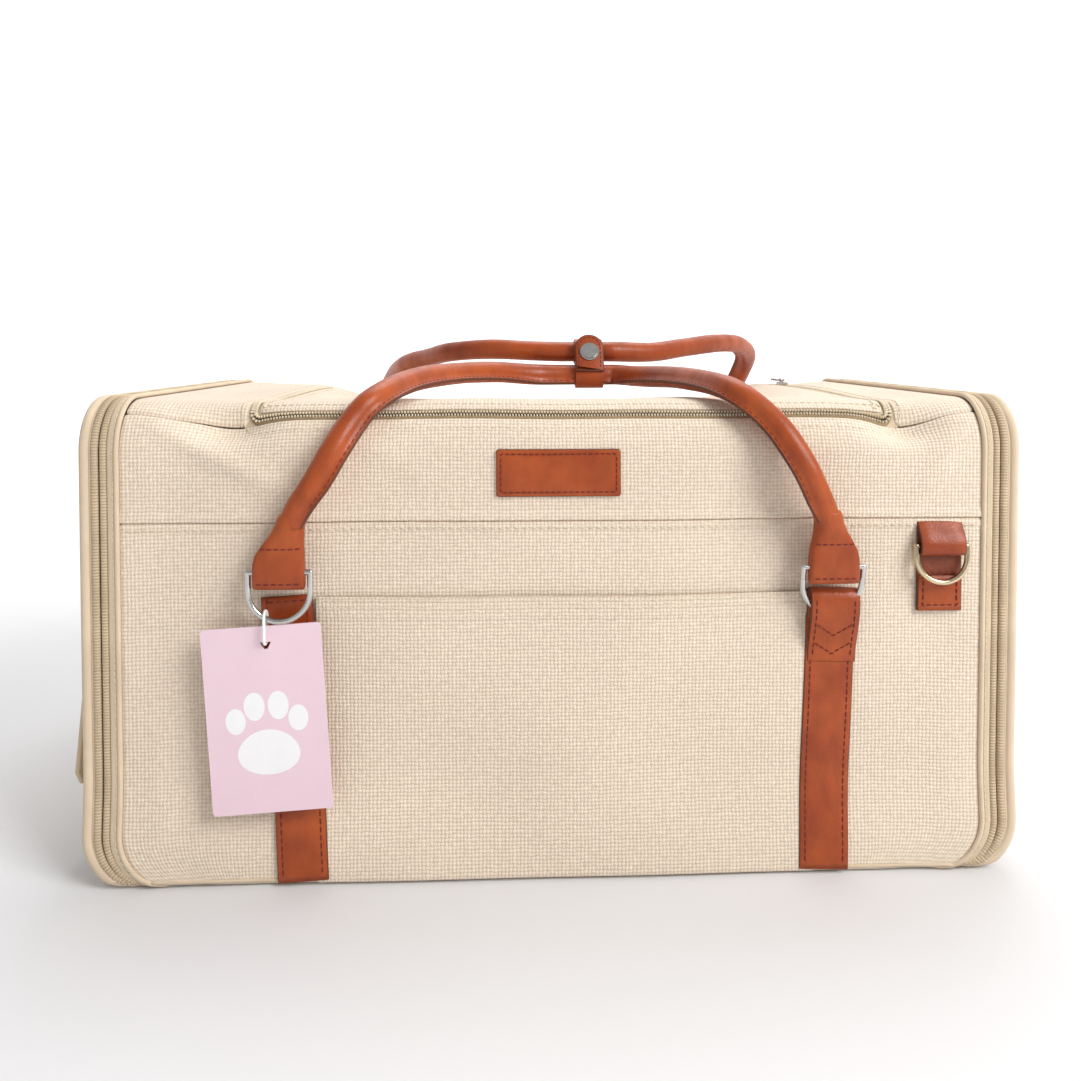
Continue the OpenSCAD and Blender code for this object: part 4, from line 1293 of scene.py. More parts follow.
def resample_with(places: Array, normals: Array, step: float) -> tuple[Array, Array]:
    """Places about step apart along a line, each with its unit direction."""
    both = np.concatenate([places, normals], axis=1)
    lengths = distances(places)
    s = spaced(0.0, lengths[-1], step)
    rows = columns_at(s, lengths, both)
    return rows[:, :places.shape[1]], unit(rows[:, places.shape[1]:])


def threads(middle: Array, along: Array, out: Array, length: Array, width: float) -> Patch:
    """Straight square threads, one block each with four sides."""
    across = np.cross(out, along)
    ends = np.array([-0.5, 0.5])[:, None]
    ring = np.array([[1, 1], [-1, 1], [-1, -1], [1, -1]]) * width / 2
    a = (ends[None] * length[:, None, None])[..., None] * along[:, None, None]
    b = ring[None, None, :, :1] * across[:, None, None] + ring[None, None, :, 1:] * out[:, None, None]
    points = (middle[:, None, None] + a + b).reshape(-1, 3)
    quads = np.array([[0, 1, 5, 4], [1, 2, 6, 5], [2, 3, 7, 6], [3, 0, 4, 7], [3, 2, 1, 0], [4, 5, 6, 7]])
    every = (quads[None] + (np.arange(len(middle)) * 8)[:, None, None]).reshape(-1, 4)
    return Patch(points, every, points[every][..., 1:] * MM)


@dataclass
class LeatherTrim:
    """Straps, label patch and shoulder tabs, all sewn to the shell."""

    hull: Hull
    finishes: Finishes
    thickness: float = 1.9
    pitch: float = 4.0
    inset: float = 3.0

    def materials(self) -> list[bpy.types.Material]:
        """Leather, its thread, its cut edge and the grained back."""
        return [self.finishes.leather, self.finishes.leather_thread, self.finishes.leather_edge,
                self.finishes.grained]

    def ribbon(self, path: Array, out: Array, width: float, thick: float, across: Array,
               face: int = 0) -> list[Patch]:
        """A leather strip along a path, with darker cut edges.

        Args:
            path: (n, 3) middle of its back.
            out: (n, 3) direction of its face.
            width: across.
            thick: of the leather.
            across: (3,) or (n, 3) direction of its width.
            face: material of the face and back.
        Returns:
            Its patches.
        """
        half, soft = width / 2, 0.55
        faces = np.array([[-half + soft, thick], [-half * 0.5, thick + 0.12], [0.0, thick + 0.16],
                          [half * 0.5, thick + 0.12], [half - soft, thick]])
        edge = np.array([[half - soft, thick], [half - 0.12, thick - 0.2], [half, thick - 0.7], [half, 0.5],
                         [half - soft, 0.0]])
        back = np.array([[half - soft, 0.0], [-half + soft, 0.0]])
        other = edge[::-1] * np.array([-1.0, 1.0])
        patches = []
        for outline, finish in ((faces, face), (edge, 2), (back, face), (other, 2)):
            patches.append(cloth_patch(sweep(path, across, out, outline), finish=finish))
        loop = np.concatenate([faces[:-1], edge[:-1], back[:-1], other[:-1]])
        ends = sweep(path, across, out, loop)
        return patches + [fan_cap(ends[0], 2), flip(fan_cap(ends[-1], 2))]

    def build(self) -> None:
        """Makes the straps, the label and the shoulder tabs."""
        self.strap("front_left", -139.5, -131.0, False, False)
        self.strap("front_right", 143.0, 139.0, False, True)
        self.strap("rear_left", -141.0, -139.0, True, True)
        self.strap("rear_right", 141.0, 139.0, True, True)
        self.label()
        self.shoulder_tab("front", False)
        self.shoulder_tab("rear", True)

    def strap(self, name: str, top_x: float, foot_x: float, rear: bool, looped: bool) -> None:
        """A strap from the base seam to the handle's ring, folded round the ring where it is looped."""
        box = mm_box(name + "_strap")
        width, top = box[1, 0] - box[0, 0], box[1, 2]
        z = spaced(3.6, top - 1.0, 3.0)
        x = foot_x + (top_x - foot_x) * z / top
        path = self.hull.front(x, z, 0.15)
        out = np.tile(FORWARD, (len(z), 1))
        out[:, 2] = -0.6 * ease((8.0 - z) / 8.0)
        out = unit(out)
        lean = unit(np.array([(top_x - foot_x) / top, 0, 1.0]))
        across = unit(np.array([lean[2], 0, -lean[0]]))
        patches = self.ribbon(path, out, width, self.thickness, across)
        rows = []
        for side in (-1, 1):
            rows.append(path + across * side * (width / 2 - self.inset) + out * (self.thickness + 0.1))
        patches += [stitch_row(row[1:], out[1:], self.pitch, 1) for row in rows]
        if looped:
            patches += self.loop(top_x, width, across)
        else:
            row = path[-1] + np.outer(spaced(-0.5, 0.5, 0.1), across) * (width - 2 * self.inset)
            row = row + np.array([0, -self.thickness - 0.1, -2.6])
            patches.append(stitch_row(row, FORWARD, self.pitch, 1))
        for patch in patches:
            patch.points = self.hull.relax(patch.points)
            patch.points = rear_of(patch.points) if rear else patch.points
        piece = make_piece(name + "_strap_leather", patches, self.materials())
        place(piece, "bag", "leather", name + "_strap")

    def loop(self, x: float, width: float, across: Array) -> list[Patch]:
        """The strap's fold over the ring, and the two V rows of stitches that close it."""
        depth = self.hull.half_depth
        route = smooth_route([[0, -depth - 2.3, 112], [0, -depth - 3.0, 118], [0, -depth - 5.6, 126],
                              [0, -depth - 9.0, 136], [0, -depth - 10.3, 144], [0, -depth - 9.2, 149.5],
                              [0, -depth - 5.6, 151.8], [0, -depth - 2.4, 149.5], [0, -depth - 1.0, 143],
                              [0, -depth - 0.6, 134]], 5)
        route[:, 0] += x
        t = tangents(route)
        out = outward_normals(route, t)
        patches = self.ribbon(route - out * 1.7, out, width - 0.4, 1.7, across)
        for foot, tip in ((133.0, 127.0), (122.5, 116.5)):
            half = width / 2 - self.inset - 0.5
            arm = spaced(0, half, 1.5)
            v = np.concatenate([np.stack([spaced(-half, 0, 1.5), np.linspace(foot, tip, len(arm))], 1),
                                np.stack([arm, np.linspace(tip, foot, len(arm))], 1)])
            depth_at = np.interp(v[:, 1], route[:18, 2], -route[:18, 1])
            row = np.stack([x + v[:, 0], -depth_at - 0.25, v[:, 1]], axis=1)
            patches.append(stitch_row(row, FORWARD, 3.4, 1, 2.6))
        for side in (-1, 1):
            keep = (route[:, 2] > 114) & (route[:, 2] < 147) & (np.arange(len(route)) < 24)
            row = route[keep] + across * side * (width / 2 - self.inset) + out[keep] * 0.1
            patches.append(stitch_row(row, out[keep], self.pitch, 1))
        return patches

    def label(self) -> None:
        """The blank leather patch on the yoke with its running stitch."""
        box = mm_box("label_patch")
        half_x, z0, z1 = box[1, 0], box[0, 2], box[1, 2]
        mid, half_z, r = (z0 + z1) / 2, (z1 - z0) / 2, 1.4
        outline = rounded_bar(2 * half_x, 2 * half_z, r, 5)
        layers = ((0.0, 0.1, 2), (0.0, 1.1, 2), (0.35, 1.55, 2), (0.8, 1.65, 0), (6.0, 1.6, 0))
        shrink = np.array([1 / half_x, 1 / half_z])
        rows = []
        for inset, proud, _ in layers:
            flat = outline * (1 - inset * shrink)
            rows.append(self.hull.front(flat[:, 0], mid + flat[:, 1], proud))
        patches = [cloth_patch(np.stack(rows[k:k + 2]), wrap_v=True, finish=layers[k + 1][2])
                   for k in range(len(rows) - 1)]
        inner = outline * (1 - 6.0 * shrink)
        patches.append(fan_cap(self.hull.front(inner[:, 0], mid + inner[:, 1], 1.6)))
        patches.append(fan_cap(rows[0], 2))
        seam = rounded_bar(2 * half_x - 4.6, 2 * half_z - 4.6, 1.2, 4)
        seam = np.concatenate([seam, seam[:1]])
        seam = resample(seam, 1.0)
        row = self.hull.front(seam[:, 0], mid + seam[:, 1], 1.75)
        patches.append(stitch_row(row, FORWARD, 3.1, 1, 2.3, 0.65, 0.6))
        for patch in patches:
            patch.points = self.hull.relax(patch.points)
        place(make_piece("label_leather", patches, self.materials()), "bag", "leather", "label_patch")

    def shoulder_tab(self, name: str, rear: bool) -> None:
        """A grained back strip, and a face strip folded round the shoulder ring's bar."""
        box, ring = mm_box(name + "_ring_tab"), mm_box(name + "_shoulder_ring")
        x, width = (box[0, 0] + box[1, 0]) / 2 * (-1 if rear else 1), box[1, 0] - box[0, 0]
        top, foot, depth = box[1, 2], box[0, 2], self.hull.half_depth
        bar = ring[1, 2] - 1.5
        z = spaced(foot, top, 3.0)
        back = np.stack([x + 0 * z, -depth - 0.1 + 0 * z, z], axis=1)
        out = np.tile(FORWARD, (len(z), 1))
        across, thin, seam_z = ALONG, 1.3, 158.0
        patches = self.ribbon(back, out, width, thin, across, 3)
        low = z < 159.5
        patches += self.ribbon(back[low] + out[low] * 1.2, out[low], width - 0.3, thin, across)
        face = smooth_route([[x, -depth - 1.3, top + 0.5], [x, -depth - 3.4, top - 2.5],
                             [x, -depth - 6.3, bar + 5.0], [x, -depth - 7.9, bar + 0.5],
                             [x, -depth - 7.0, bar - 3.4], [x, -depth - 4.4, bar - 5.0],
                             [x, -depth - 2.0, bar - 4.4], [x, -depth - 1.2, bar - 2.0]], 5)
        normal = outward_normals(face, tangents(face))
        patches += self.ribbon(face - normal * thin, normal, width, thin, across)
        half = width / 2 - self.inset
        proud = -depth - 2.9
        box_row = np.array([[-half, seam_z], [-half, foot + 3], [half, foot + 3], [half, seam_z],
                            [-half, seam_z]])
        corners = np.stack([x + box_row[:, 0], 0 * box_row[:, 0] + proud, box_row[:, 1]], axis=1)
        row = resample(corners, 1.0)
        patches.append(stitch_row(row, FORWARD, 3.6, 1, 2.6))
        for patch in patches:
            patch.points = rear_of(patch.points) if rear else patch.points
        piece = make_piece(name + "_tab_leather", patches, self.materials())
        place(piece, "bag", "leather", name + "_ring_tab")


def outward_normals(route: Array, t: Array) -> Array:
    """In-plane normals of a fold in y and z that point away from its middle."""
    normal = unit(np.stack([0 * t[:, 0], t[:, 2], -t[:, 1]], axis=1))
    middle = route.mean(axis=0)
    sign = np.sign((normal * (route - middle)).sum(axis=1).sum())
    return normal * sign


@dataclass
class Handle:
    """A rolled leather handle with a stitched welt on its inner side and a lug at each foot."""

    name: str
    route: list
    body: str
    flat: tuple
    welt_side: float
    rear: bool
    finishes: Finishes
    radius: float = 6.5
    keeper: tuple = (26.0, 9.0)

    def materials(self) -> list[bpy.types.Material]:
        """Leather, its thread and its cut edge."""
        return [self.finishes.leather, self.finishes.leather_thread, self.finishes.leather_edge]

    def frames(self) -> tuple[Array, Array, Array]:
        """Places, welt directions and the third directions along the handle."""
        path = resample(smooth_route(self.route, 8), 3.0)
        t = tangents(path)
        inner = unit(np.cross(t, np.array(self.flat))) * self.welt_side
        return path, inner, np.cross(t, inner)

    def build(self) -> None:
        """Makes the rolled handle and its two lugs."""
        path, inner, third = self.frames()
        a = spaced(0.26, 2 * math.pi - 0.26, 0.27)
        roll = self.radius * np.stack([np.cos(a), np.sin(a)], axis=1)
        welt = np.array([[8.6, -0.95], [9.3, -0.6], [9.3, 0.6], [8.6, 0.95]])
        outline = np.concatenate([roll, welt])
        profile = np.tile(outline, (len(path), 1, 1))
        swell = 1 + 0.012 * np.sin(np.arange(len(path)) / 5.1) + 0.01 * np.sin(np.arange(len(path)) / 2.3)
        profile[:, :len(roll)] *= swell[:, None, None]
        held = np.exp(-((path[:, 0] - self.keeper[0]) / self.keeper[1]) ** 6)
        ends = np.exp(-(np.minimum(np.arange(len(path)), np.arange(len(path))[::-1]) / 3.0) ** 2)
        tuck = np.clip(held + ends, 0, 1)[:, None]
        profile[:, len(roll):, 0] = profile[:, len(roll):, 0] * (1 - tuck) + 6.35 * tuck
        points = sweep(path, inner, third, profile)
        rolled = cloth_patch(points[:, :len(roll)])
        edge_points = np.concatenate([points[:, len(roll) - 1:], points[:, :1]], axis=1)
        patches = [rolled, cloth_patch(edge_points[:, :2]), cloth_patch(edge_points[:, 1:5], finish=2),
                   cloth_patch(edge_points[:, 4:]), fan_cap(points[0]), flip(fan_cap(points[-1]))]
        free = (held < 0.02) & (ends < 0.1)
        for side in (-1, 1):
            row = path + inner * 7.7 + third * side * 1.2
            for part in np.split(np.arange(len(path)), np.where(np.diff(free.astype(int)) != 0)[0] + 1):
                if free[part[0]] and len(part) > 3:
                    patches.append(stitch_row(row[part], third[part] * side, 3.8, 1, 2.6, 0.6, 0.5))
        piece = make_piece(self.name + "_rolled", patches, self.materials())
        place(piece, self.body, "leather", self.name)
        for side, end in (("left", path[0]), ("right", path[-1])):
            self.lug(side, end)

    def lug(self, side: str, end: Array) -> None:
        """A lug lofted from the round handle to a flat fold round the ring's bar.

        Each level is a superellipse |x/a|^n + |y/b|^n = 1.
        """
        node = ("rear_" if self.rear else "front_") + side + "_lug"
        box = mm_box(node)
        x, y, bar = (box[0, 0] + box[1, 0]) / 2, (box[0, 1] + box[1, 1]) / 2, box[0, 2] + 8.0
        levels = np.array([
            # height over the bar, half width, half thickness, roundness, share of the lean
            [-8.6, 12.4, 1.2, 4.0, 0.0], [-8.2, 12.8, 2.6, 4.5, 0.0], [-6.5, 13.0, 3.6, 5.0, 0.0],
            [-2.0, 13.0, 4.1, 5.0, 0.0], [4.0, 12.9, 4.2, 4.5, 0.0], [9.0, 12.2, 4.4, 3.6, 0.1],
            [14.0, 10.4, 5.0, 2.8, 0.35], [18.5, 8.7, 5.9, 2.3, 0.65], [23.0, 7.6, 6.7, 2.05, 0.9],
            [28.0, 7.2, 7.0, 2.0, 1.15], [29.0, 6.7, 6.6, 2.0, 1.2]])
        fine = resample(levels, 0.9)
        a = np.linspace(0, 2 * math.pi, 36, endpoint=False)
        power = 2 / fine[:, 3:4]
        px = fine[:, 1:2] * np.sign(np.cos(a)) * np.abs(np.cos(a)) ** power
        py = fine[:, 2:3] * np.sign(np.sin(a)) * np.abs(np.sin(a)) ** power
        shift = (end[0] - x) * fine[:, 4:5]
        points = np.stack([x + shift + px, y + py, bar + fine[:, :1] + 0 * px], axis=-1)
        patches = [cloth_patch(points, wrap_v=True), fan_cap(points[0], 2), flip(fan_cap(points[-1]))]
        for face in (-1, 1):
            for up, half in ((12.4, 10.2), (-5.4, 11.2)):
                shares = spaced(-1.0, 1.0, 0.1)
                k = np.argmin(np.abs(fine[:, 0] - up))
                wide, deep, power_k = fine[k, 1], fine[k, 2], fine[k, 3]
                thick = deep * (1 - np.abs(shares * half / wide) ** power_k) ** (1 / power_k)
                row = np.stack([x + shift[k] + shares * half, y + face * (thick + 0.1),
                                bar + up + 0 * shares], axis=1)
                patches.append(stitch_row(row, np.array([0, float(face), 0]), 3.5, 1, 2.6))
        piece = make_piece(node + "_leather", patches, self.materials())
        place(piece, self.body, "leather", node)


@dataclass
class Keeper:
    """The snap tab in front of the stacked handles, and the two wraps it joins."""

    finishes: Finishes
    x: float = 26.0
    width: float = 18.0
    foot: tuple = (-25.2, 261.0)
    lean: float = 24.5
    length: float = 26.0

    def build(self) -> None:
        """Makes the wraps and the tab."""
        f = self.finishes
        self.wrap("keeper_sleeve_leather", (-15.0, 258.6), 7.2, 8.55, "front_grip", "keeper_sleeve")
        self.wrap("keeper_back_leather", (-5.0, 273.4), 7.2, 8.25, "rear_grip", "keeper_back")
        tilt = math.radians(self.lean)
        up = np.array([0.0, math.sin(tilt), math.cos(tilt)])
        out = np.array([0.0, -math.cos(tilt), math.sin(tilt)])
        across = ALONG
        half, r = self.width / 2, self.width / 2
        a = spaced(0, math.pi, math.pi / 18)
        tip = np.stack([r * np.cos(a), self.length - r + r * np.sin(a)], axis=1)
        side = spaced(0.4, self.length - r, 3.0)[:-1]
        outline = np.concatenate([np.stack([half + 0 * side, side], axis=1), tip,
                                  np.stack([-half + 0 * side, side[::-1]], axis=1)])
        origin = np.array([self.x, *self.foot])
        layers = ((0.5, 0.0), (0.0, 0.35), (0.0, 1.2), (0.3, 1.6), (0.8, 1.75))
        middle = np.array([0.0, self.length / 2])
        rows = []
        for inset, proud in layers:
            flat = middle + (outline - middle) * (1 - inset / np.array([half, self.length / 2]))
            rows.append(origin + flat[:, :1] * across + flat[:, 1:] * up + out * (proud - 1.5))
        patches = [cloth_patch(np.stack(rows[k:k + 2]), wrap_v=True, finish=2) for k in range(4)]
        patches += [fan_cap(rows[-1]), flip(fan_cap(rows[0]))]
        seam = middle + (outline - middle) * (1 - 2.0 / np.array([half, self.length / 2]))
        row = origin + seam[:, :1] * across + seam[:, 1:] * up + out * 0.3
        patches.append(stitch_row(row, out, 3.0, 1, 2.2, 0.55, 0.5))
        piece = make_piece("keeper_tab_leather", patches, [f.leather, f.leather_thread, f.leather_edge])
        place(piece, "keeper", "leather", "keeper_tab")

    def wrap(self, name: str, centre: tuple, r_in: float, r_out: float, body: str, node: str) -> None:
        """A leather wrap round a handle, with softened edges."""
        a = np.linspace(0, 2 * math.pi, 40, endpoint=False)
        out = np.stack([0 * a, np.cos(a), np.sin(a)], axis=1)
        path = np.array([self.x, *centre]) + out * (r_in + r_out) / 2
        bar = rounded_bar(self.width, r_out - r_in, 0.5, 4)
        points = sweep(path, ALONG, out, bar)
        piece = make_piece(name, [cloth_patch(points, wrap_u=True, wrap_v=True)], [self.finishes.leather])
        place(piece, body, "leather", node)


@dataclass
class FrontPocket:
    """A slack patch pocket between the straps with a stitched top hem."""

    hull: Hull
    finishes: Finishes
    hem: float = 12.0

    def build(self) -> None:
        """Makes the pocket's cloth and its two rows of stitches."""
        box = mm_box("front_pocket")
        half, top = box[1, 0] + 1.5, box[1, 2]
        x = spaced(-half + 4.0, half + 6.0, 3.6)[:, None]
        z = np.concatenate([spaced(1.0, 9.0, 1.3), spaced(12.0, top - self.hem - 2, 4.2),
                            top - self.hem + np.array([-0.9, -0.3, 0.5]),
                            top - np.array([8, 5, 2.5, 1.0, 0.2, 0])])[None]
        points = self.sheet(x, z, top)
        uv = np.stack([points[..., 0], points[..., 2] + 0 * x], axis=-1) * MM + 0.0007
        patch = towards(grid_patch(self.hull.relax(points), uv), INSIDE)
        piece = make_piece("pocket_cloth", [patch], [self.finishes.linen], closed=False)
        thicken(piece, 1.1)
        refine(piece)
        place(piece, "bag", "linen", "front_pocket")
        run = spaced(-half + 8, half, 2.0)
        rows = []
        for down in (1.9, 5.9):
            row = self.sheet(run, np.full_like(run, top - down), top)
            row[:, 1] -= 0.1
            rows.append(stitch_row(self.hull.relax(row), FORWARD, 3.9, 0, 2.8, 0.6, 0.5))
        place(make_piece("pocket_hem_stitches", rows, [self.finishes.linen_thread]), "bag", "linen")

    def sheet(self, x: Array, z: Array, top: float) -> Array:
        """The pocket stands 1.4 off the wall, and gapes towards the middle of its mouth."""
        gape = 1.6 * ease((z - 70) / (top - 70)) * np.cos(np.clip(x / 140, -1, 1) * math.pi / 2) ** 0.8
        hem = 0.45 * ease((z - top + self.hem + 0.6) / 0.8)
        drop = 1.2 * np.cos(np.clip(x / 140, -1, 1) * math.pi / 2) * ease((z - top + 20) / 20)
        return self.hull.front(x, z - drop, 1.3 + gape + hem)


@dataclass
class HangTag:
    """A plain card tag with a printed paw, hanging on its plastic ring."""

    finishes: Finishes
    width: float = 60.0
    height: float = 95.0
    hole_down: float = 9.0
    hole_r: float = 2.8
    tilt: float = 3.5

    def build(self) -> None:
        """Makes the card and its print."""
        box = mm_box("hang_tag")
        ring = mm_box("tag_ring")
        hole = np.array([(ring[0, 0] + ring[1, 0]) / 2, (box[0, 1] + box[1, 1]) / 2, ring[0, 2] + 0.9])
        low = self.hole_down - self.height / 2
        card = rounded_bar(self.width, self.height, 2.0, 9) + np.array([-2.0, low])
        angle = np.arctan2(card[:, 1], card[:, 0])
        eye = self.hole_r * np.stack([np.cos(angle), np.sin(angle)], axis=1)
        share = spaced(0.0, 1.0, 0.125)[:, None, None] ** 1.5
        flat = eye[None] * (1 - share) + card[None] * share
        patch = cloth_patch(self.stand(flat, hole), wrap_v=True)
        piece = make_piece("tag_card", [towards(patch, (0, 500, 100))], [self.finishes.card], False, False)
        thicken(piece, 0.7, inward=False)
        place(piece, "tag", "tag_card", "hang_tag")
        self.paw(hole)

    def stand(self, flat: Array, hole: Array, proud: float = 0.0) -> Array:
        """Turns the card's own (across, up) into places, tilted about its hole."""
        t = math.radians(self.tilt)
        x = flat[..., 0] * math.cos(t) - flat[..., 1] * math.sin(t)
        z = flat[..., 0] * math.sin(t) + flat[..., 1] * math.cos(t)
        return np.stack([hole[0] + x, hole[1] - proud + 0 * x, hole[2] + z], axis=-1)

    def paw(self, hole: Array) -> None:
        """A white paw: a rounded pad and four toes, printed on the face."""
        shapes = ((-2.0, -55.0, 15.5, 11.5), (-17.5, -38.5, 5.0, 6.6), (-7.8, -31.5, 5.2, 7.2),
                  (4.2, -31.5, 5.2, 7.2), (13.8, -38.5, 5.0, 6.6))
        a = np.linspace(0, 2 * math.pi, 40, endpoint=False)
        patches = []
        for cx, cz, half_w, half_h in shapes:
            pinch = 1 - (0.10 * np.sin(a) if half_w > 10 else 0.0)
            loop = np.stack([cx + half_w * np.cos(a) * pinch, cz + half_h * np.sin(a)], axis=1)
            layers = np.stack([self.stand(loop, hole, 0.30), self.stand(loop, hole, 0.42)])
            patches += [cloth_patch(layers, wrap_v=True), fan_cap(layers[1]), fan_cap(layers[0])]
        place(make_piece("tag_paw", patches, [self.finishes.print], False), "tag", "tag_card")


@dataclass
class FloorMat:
    """The padded mat in the bottom of the bag, plumped by cloth pressure."""

    finishes: Finishes
    voxel: float = 6.0
    pressure: float = 4.0
    cap: float = 5.0
    frames: int = 20

    def build(self) -> None:
        """Remeshes a rounded slab, lets pressure swell it and holds its swelling to the cap."""
        box = mm_box("floor_mat")
        slab = self.slab(box)
        self.plump(slab)
        refine(slab)
        place(slab, "bag", "fleece", "floor_mat")

    def slab(self, box: Array) -> bpy.types.Object:
        """A thin cushion: a superellipse outline whose thickness falls away at its edge."""
        half = (box[1] - box[0]) / 2 - np.array([3.0, 3.0, 3.5])
        middle = (box[0] + box[1]) / 2
        share = np.concatenate([[0.0], spaced(0.12, 1.0, 0.04)])
        a = np.linspace(0, 2 * math.pi, 120, endpoint=False)
        round_x = np.sign(np.cos(a)) * np.abs(np.cos(a)) ** 0.3
        round_y = np.sign(np.sin(a)) * np.abs(np.sin(a)) ** 0.3
        rim = share[:, None]
        thick = half[2] * np.clip(1 - rim ** 10, 0, 1) ** 0.5
        top = np.stack([middle[0] + half[0] * rim * round_x, middle[1] + half[1] * rim * round_y,
                        middle[2] + thick + 0 * round_x], axis=-1)
        low = top[::-1].copy()
        low[..., 2] = 2 * middle[2] - low[..., 2]
        points = np.concatenate([top[1:], low[1:-1]])
        lid, foot = fan_cap(points[0]), flip(fan_cap(points[-1]))
        return make_piece("mat_fleece", [cloth_patch(points, wrap_v=True), lid, foot], [self.finishes.fleece])

    def plump(self, slab: bpy.types.Object) -> None:
        """Runs the pressure cloth and keeps each point within the cap of where it began."""
        scene = bpy.context.scene
        remesh = slab.modifiers.new("remesh", "REMESH")
        remesh.mode = "VOXEL"
        remesh.voxel_size = self.voxel * MM
        apply_all(slab)
        start = vertex_places(slab)
        cloth = slab.modifiers.new("cloth", "CLOTH")
        cloth.settings.use_pressure = True
        cloth.settings.uniform_pressure_force = self.pressure
        cloth.settings.effector_weights.gravity = 0.0
        for moment in range(1, self.frames + 1):
            scene.frame_set(moment)
        apply_all(slab)
        scene.frame_set(1)
        moved = vertex_places(slab) - start
        length = np.linalg.norm(moved, axis=1, keepdims=True)
        held = start + moved * np.minimum(1.0, self.cap * MM / np.maximum(length, 1e-9))
        box = mm_box("floor_mat") * MM
        held = np.clip(held, box[0], box[1])
        slab.data.vertices.foreach_set("co", held.astype(np.float32).ravel())
        slab.data.update()


def apply_all(piece: bpy.types.Object) -> None:
    """Turns a piece's modifiers into its mesh."""
    graph = bpy.context.evaluated_depsgraph_get()
    made = bpy.data.meshes.new_from_object(piece.evaluated_get(graph))
    piece.modifiers.clear()
    piece.data = made


def vertex_places(piece: bpy.types.Object) -> Array:
    """A piece's vertices in metres."""
    places = np.empty(len(piece.data.vertices) * 3, np.float32)
    piece.data.vertices.foreach_get("co", places)
    return places.reshape(-1, 3).astype(float)


# ---------------------------------------------------------------- frame nodes and studio


def dress_frame(finishes: Finishes) -> None:
    """Gives every CAD node that stays in view its finish."""
    kept = {
        finishes.steel: ("handle_dees", "snap_cap", "top_slider", "top_pull", "left_slider", "left_pull",
                         "right_slider", "right_pull"),
        finishes.gold: ("front_shoulder_ring", "rear_shoulder_ring"),
        finishes.plastic: ("tag_ring",),
        finishes.board: ("base_board",),
    }
    for material, names in kept.items():
        for name in names:
            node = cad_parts[name]
            node.data.materials.clear()
            node.data.materials.append(material)
            log.info("%s is finished in %s", name, material.name)


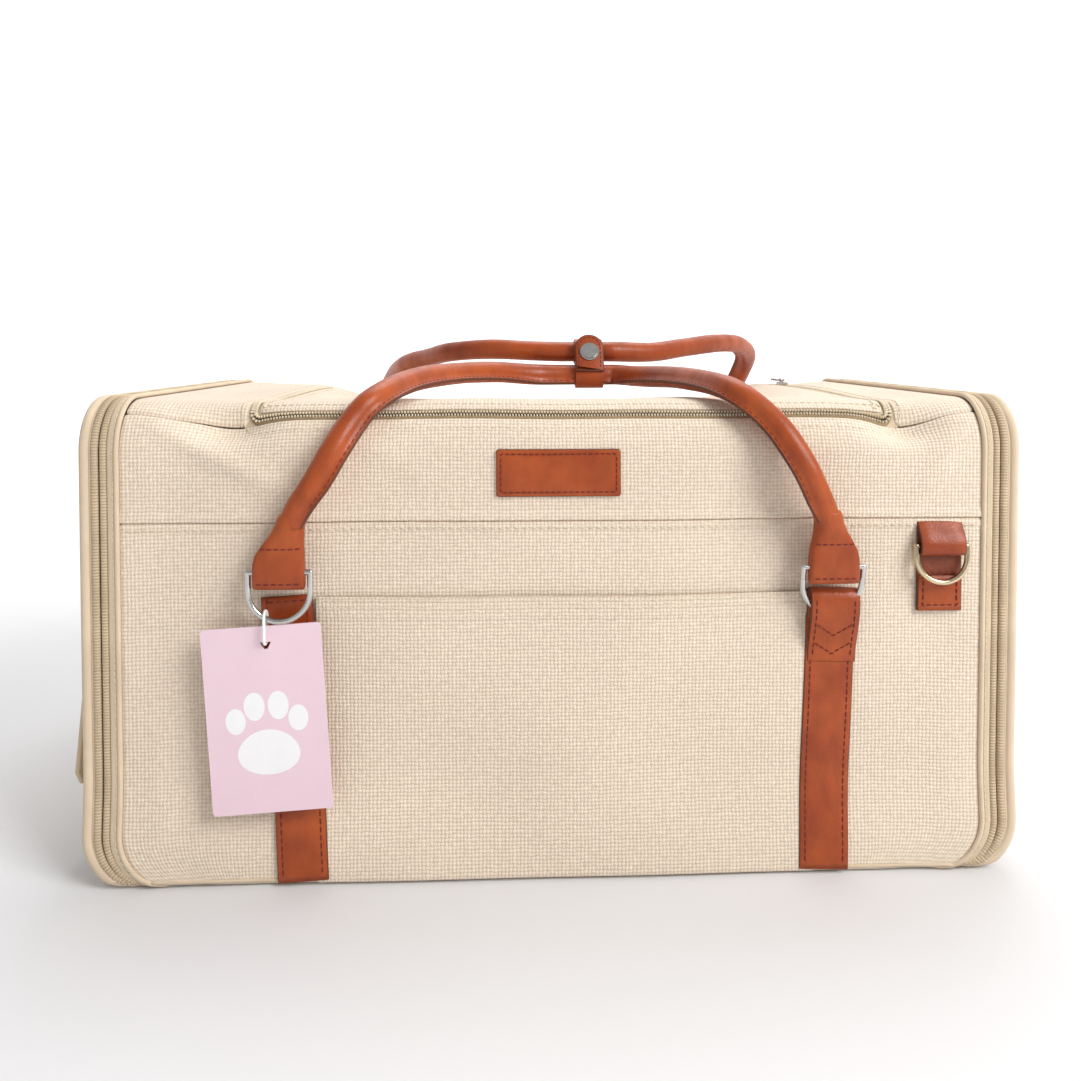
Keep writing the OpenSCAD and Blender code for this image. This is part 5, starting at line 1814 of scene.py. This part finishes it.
@dataclass
class Studio:
    """A pale floor that curves up behind, soft light and the camera."""

    focal: float = 31.7
    place: tuple = (-0.0263, -0.627, 0.2782)
    pitch: float = -1.87
    yaw: float = 2.44
    roll: float = 0.0
    shift: tuple = (-0.0076, -0.1527)

    def build(self) -> None:
        """Sets the floor, lights and camera."""
        self.floor()
        self.lights()
        self.camera()

    def camera(self) -> None:
        """The camera stands close in front, a little over the bag's top."""
        data = bpy.data.cameras.new("camera")
        data.lens, data.sensor_width, data.sensor_fit = self.focal, 36.0, "AUTO"
        data.shift_x, data.shift_y = self.shift
        data.clip_start = 0.01
        camera = bpy.data.objects.new("camera", data)
        camera.location = self.place
        camera.rotation_euler = Euler((math.radians(90 + self.pitch), math.radians(self.roll),
                                       math.radians(-self.yaw)), "XYZ")
        bpy.context.scene.collection.objects.link(camera)
        bpy.context.scene.camera = camera

    def floor(self) -> None:
        """One sheet: flat in front, a quarter circle behind, then a wall, glowing more towards the back as
        painted light.
        """
        near, bend, radius, tall, half = -5.0, 1.6, 1.2, 7.0, 8.0
        a = spaced(0, math.pi / 2, 0.1)
        y = np.concatenate([spaced(near, bend, 0.3), bend + radius * np.sin(a[1:]), [bend + radius] * 2])
        z = np.concatenate([0 * spaced(near, bend, 0.3), radius - radius * np.cos(a[1:]), [2.0, tall]])
        x = spaced(-half, half, 0.5)[:, None]
        points = np.stack([x + 0 * y, y + 0 * x, z + 0 * x - 0.0004], axis=-1) / MM
        w = Wiring("pale_floor")
        depth = w.node("ShaderNodeSeparateXYZ", {0: w.place_xyz()}).outputs[1]
        glowing_paper = w.finish({"Base Color": rgba((0.78, 0.78, 0.79)), "Roughness": 0.8,
                          "Specular IOR Level": 0.15,
                          # Painted light: the sheet glows, from none in front to 0.6 at the back, brightening
                          # the backdrop without a lamp.
                          "Emission Color": rgba((1.0, 1.0, 1.0)),
                          "Emission Strength": w.spread(depth, 0.1, 1.8, 0.0, 0.6)})
        floor = make_piece("floor", [towards(cloth_patch(points), (0, 0, -9000.0))], [glowing_paper], closed=False)

    def lights(self) -> None:
        """A big soft key from the front right, a fill from the left and a bright sky."""
        for name, at, aim, size, power in (
                ("key", (1.35, -1.25, 1.35), (0.0, 0.0, 0.12), 1.0, 38.0),
                ("fill", (-1.7, -1.8, 0.9), (0.0, 0.0, 0.12), 1.6, 2.5),
                ("top", (0.3, 0.9, 2.2), (0.0, 0.2, 0.1), 1.6, 26.0)):
            data = bpy.data.lights.new(name, "AREA")
            data.size, data.energy = size, power
            light = bpy.data.objects.new(name, data)
            light.location = at
            light.rotation_euler = (Vector(aim) - Vector(at)).to_track_quat("-Z", "Y").to_euler()
            bpy.context.scene.collection.objects.link(light)
        world = bpy.data.worlds.new("sky")
        world.use_nodes = True
        sky = world.node_tree.nodes["Background"]
        sky.inputs[0].default_value = (1.0, 1.0, 1.0, 1.0)
        sky.inputs[1].default_value = 0.41
        bpy.context.scene.world = world
        bpy.context.scene.view_settings.view_transform = "Standard"


FRONT_ROUTE = [
    (-135, -148, 187), (-131, -149, 196), (-122, -150, 210), (-114, -147, 225), (-105, -138, 240),
    (-95, -129, 250.5), (-78, -95, 258.5), (-56, -60, 261), (-33, -34, 261), (-11, -19, 259),
    (8, -15, 258.6), (17, -15, 258.6), (35, -15, 258.6), (44, -15.4, 258.6), (57, -30, 258),
    (76, -76, 258.5), (93, -123, 254), (111, -139, 239), (124, -148, 219), (133, -149, 200), (138, -148, 187)]
REAR_ROUTE = [
    (-138, 148, 187), (-135, 152, 203), (-128, 149, 228), (-118, 130, 250), (-103, 87, 263),
    (-82, 55, 269), (-65, 30, 273), (-38, 9, 275), (-12, -3, 274), (8, -5, 273.4),
    (17, -5, 273.4), (35, -5, 273.4), (44, -4.6, 273.4), (70, 8, 273), (96, 30, 276),
    (126, 62, 279), (149, 92, 278), (163, 119, 270), (163, 139, 255), (157, 149, 238),
    (150, 151, 212), (146, 148, 187)]


def main() -> None:
    """Builds the bag, sub-assembly by sub-assembly, and then the studio."""
    logging.basicConfig(level=logging.WARNING)
    hull, finishes = Hull(), Finishes()
    Studio().build()
    BodyShell(hull, finishes).build()
    TopFlap(hull, finishes).build()
    for side in Side:
        BagEnd(side, hull, finishes).build()
    FrontPocket(hull, finishes).build()
    LeatherTrim(hull, finishes).build()
    Handle("front_handle", FRONT_ROUTE, "front_grip", (0, -0.59, 0.81), 1.0, False, finishes).build()
    Handle("rear_handle", REAR_ROUTE, "rear_grip", (0, 0.59, 0.8), -1.0, True, finishes).build()
    Keeper(finishes).build()
    HangTag(finishes).build()
    FloorMat(finishes).build()
    dress_frame(finishes)


if __name__ == "__main__":
    main()
